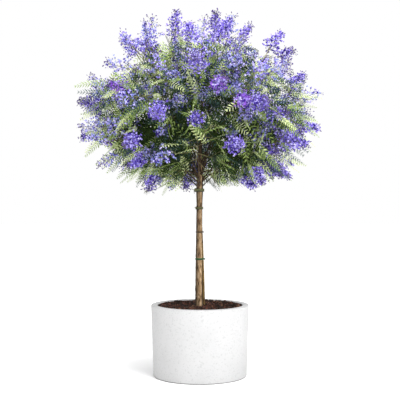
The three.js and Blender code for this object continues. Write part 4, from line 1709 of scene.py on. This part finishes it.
class CrownSettings(bpy.types.PropertyGroup):
    """The boughs, leaves and blossom."""

    seed: count_setting("Seed", "Changes the finer growth", 6)
    spacing: size_setting("Spacing", "Least distance between filling twigs", 0.075)
    filling_leaves: count_setting("Filling leaves", "Leaves on each filling twig", 5)
    shoots: count_setting("Shoots", "Shoots on each twig", 4)
    shoot_leaves: count_setting("Leaves", "Leaves on each shoot", 2)
    outward: share_setting("Outward", "How strongly the finer growth turns outwards", 0.7)
    small_panicles: share_setting("Small panicles", "Share of the shoots that bloom", 0.33)
    apart: size_setting("Apart", "Least distance between panicles", 0.08)
    bare_below: share_setting("Bare below", "Share of the panicles left off under the crown", 0.4)
    fringe: count_setting("Fringe", "Long leaves round the crown's lower side", 170)
    fringe_lightness: share_setting("Fringe lightness", "How much paler the fringe is", 0.25)
    branches: count_setting("Branches", "Side branches of a panicle", 36)
    florets: count_setting("Florets", "Florets on each side branch", 6)
    budding: share_setting("Budding", "How far buds come down the panicles", 0.3)
    leaf_pairs: count_setting("Pinnae", "Pairs of pinnae on each leaf", 13)
    leaflet_pairs: count_setting("Leaflets", "Pairs of leaflets on each pinna", 5)
    leaf_width: share_setting("Leaf width", "Length of a long leaf's pinnae, as a share", 0.138)
    tuft_width: share_setting("Tuft width", "Length of a short leaf's pinnae, as a share", 0.22)
    fine_leaves: count_setting("Finely cut", "How many outer leaves are finely cut", 420)
    pale_share: share_setting("Pale", "Share of the leaves that are pale", 0.13)
    fresh_share: share_setting("Fresh", "Share of the leaves that are fresh or pale", 0.34)
    bluish_share: share_setting("Bluish", "Share of the leaves that are not deep", 0.56)
    bough_radius: size_setting("Bough radius", "Radius of a bough at the trunk", 0.0058)
    relief: size_setting("Relief", "Depth of the boughs' cracks", 0.0011)
    leaf_glow: share_setting("Leaf glow", "Share of the light that leaves let through", 0.2)
    petal_glow: share_setting("Petal glow", "Share of the light that petals let through", 0.18)
    # pale is painted light on leaves outside and on top; bluish and deep are painted shade on leaves
    # inside
    pale_leaf: colour_setting("Pale leaf", "Young leaves outside", linear(197, 209, 152))
    fresh_leaf: colour_setting("Fresh leaf", "Leaves outside", linear(130, 151, 84))
    deep_leaf: colour_setting("Deep leaf", "Leaves inside", linear(34, 49, 17))
    bluish_leaf: colour_setting("Bluish leaf", "Shaded leaves inside", linear(54, 76, 70))
    violet: colour_setting("Violet", "Most florets", linear(138, 118, 216))
    deep: colour_setting("Deep violet", "Darker florets", linear(68, 48, 148))
    lavender: colour_setting("Lavender", "Pale florets", linear(202, 194, 248))
    # slate is painted shade on florets inside the crown, and a random tone on some outer panicles
    slate: colour_setting("Slate", "Hazy florets inside", linear(146, 154, 210))
    magenta: colour_setting("Magenta", "A few warmer florets", linear(164, 112, 220))
    bud: colour_setting("Bud", "Unopened buds", linear(84, 70, 122))
    stalk: colour_setting("Stalk", "Stalks of the panicles", linear(104, 104, 84))


class StudioSettings(bpy.types.PropertyGroup):
    """The light and the camera."""

    surround: FloatProperty(name="Surround", description="Even light all round", default=1.0, min=0)
    key: FloatProperty(name="Key", description="Main light", default=240, min=0, unit="POWER")
    fill: FloatProperty(name="Fill", description="Second light", default=10, min=0, unit="POWER")
    top: FloatProperty(name="Top", description="Light over the crown", default=170, min=0, unit="POWER")
    floor_glow: share_setting("Floor glow", "How much the floor shines by itself", 0.25)
    distance: size_setting("Distance", "From the camera to the trunk", 4.8)
    eye_height: size_setting("Eye height", "Height of the camera", 0.99)
    frame_width: size_setting("Frame width", "Width of the view at the trunk", 2.264)


# Operators


class JACARANDA_OT_planter(bpy.types.Operator):
    """Make the round planter"""

    bl_idname = "jacaranda.planter"
    bl_label = "Planter"

    def execute(self, context):
        build_planter(context.scene.jacaranda_planter)
        return {"FINISHED"}


class JACARANDA_OT_soil(bpy.types.Operator):
    """Fill the planter with soil and bark chips"""

    bl_idname = "jacaranda.soil"
    bl_label = "Soil"

    def execute(self, context):
        build_soil(context.scene.jacaranda_planter)
        return {"FINISHED"}


class JACARANDA_OT_trunk(bpy.types.Operator):
    """Make the trunk and the side stem, with their bark"""

    bl_idname = "jacaranda.trunk"
    bl_label = "Trunk"

    def execute(self, context):
        build_trunk(context.scene.jacaranda_bark)
        return {"FINISHED"}


class JACARANDA_OT_ties(bpy.types.Operator):
    """Wind the ties round the trunk"""

    bl_idname = "jacaranda.ties"
    bl_label = "Ties"

    def execute(self, context):
        build_ties(context.scene.jacaranda_bark)
        return {"FINISHED"}


class JACARANDA_OT_crown(bpy.types.Operator):
    """Grow the boughs, twigs, leaves and blossom"""

    bl_idname = "jacaranda.crown"
    bl_label = "Crown"

    def execute(self, context):
        build_crown(context.scene.jacaranda_crown)
        return {"FINISHED"}


class JACARANDA_OT_studio(bpy.types.Operator):
    """Lay the floor and set the lights and the camera"""

    bl_idname = "jacaranda.studio"
    bl_label = "Studio"

    def execute(self, context):
        build_studio(context.scene.jacaranda_studio)
        return {"FINISHED"}


OPERATORS = (
    JACARANDA_OT_planter,
    JACARANDA_OT_soil,
    JACARANDA_OT_trunk,
    JACARANDA_OT_ties,
    JACARANDA_OT_crown,
    JACARANDA_OT_studio,
)
SETTINGS = {
    "jacaranda_planter": PlanterSettings,
    "jacaranda_bark": BarkSettings,
    "jacaranda_crown": CrownSettings,
    "jacaranda_studio": StudioSettings,
}


class JACARANDA_PT_panel(bpy.types.Panel):
    """The settings and the buttons that use them."""

    bl_idname = "JACARANDA_PT_panel"
    bl_label = "Jacaranda"
    bl_space_type = "VIEW_3D"
    bl_region_type = "UI"
    bl_category = "Jacaranda"

    def draw(self, context):
        for operator in OPERATORS:
            self.layout.operator(operator.bl_idname)
        for name, group in SETTINGS.items():
            box = self.layout.box()
            for setting in group.__annotations__:
                box.prop(getattr(context.scene, name), setting)


def register():
    for group in SETTINGS.values():
        bpy.utils.register_class(group)
    for operator in OPERATORS:
        bpy.utils.register_class(operator)
    bpy.utils.register_class(JACARANDA_PT_panel)
    for name, group in SETTINGS.items():
        setattr(bpy.types.Scene, name, PointerProperty(type=group))


def unregister():
    for name in SETTINGS:
        delattr(bpy.types.Scene, name)
    bpy.utils.unregister_class(JACARANDA_PT_panel)
    for operator in reversed(OPERATORS):
        bpy.utils.unregister_class(operator)
    for group in reversed(SETTINGS.values()):
        bpy.utils.unregister_class(group)


def main():
    register()
    bpy.ops.jacaranda.planter()
    bpy.ops.jacaranda.soil()
    bpy.ops.jacaranda.trunk()
    bpy.ops.jacaranda.ties()
    bpy.ops.jacaranda.crown()
    bpy.ops.jacaranda.studio()
    boxes = {"cad": cad_box, "visual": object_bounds()}
    lists = {name: [list(corner) for corner in corners] for name, corners in boxes.items()}


if __name__ == "__main__":
    main()
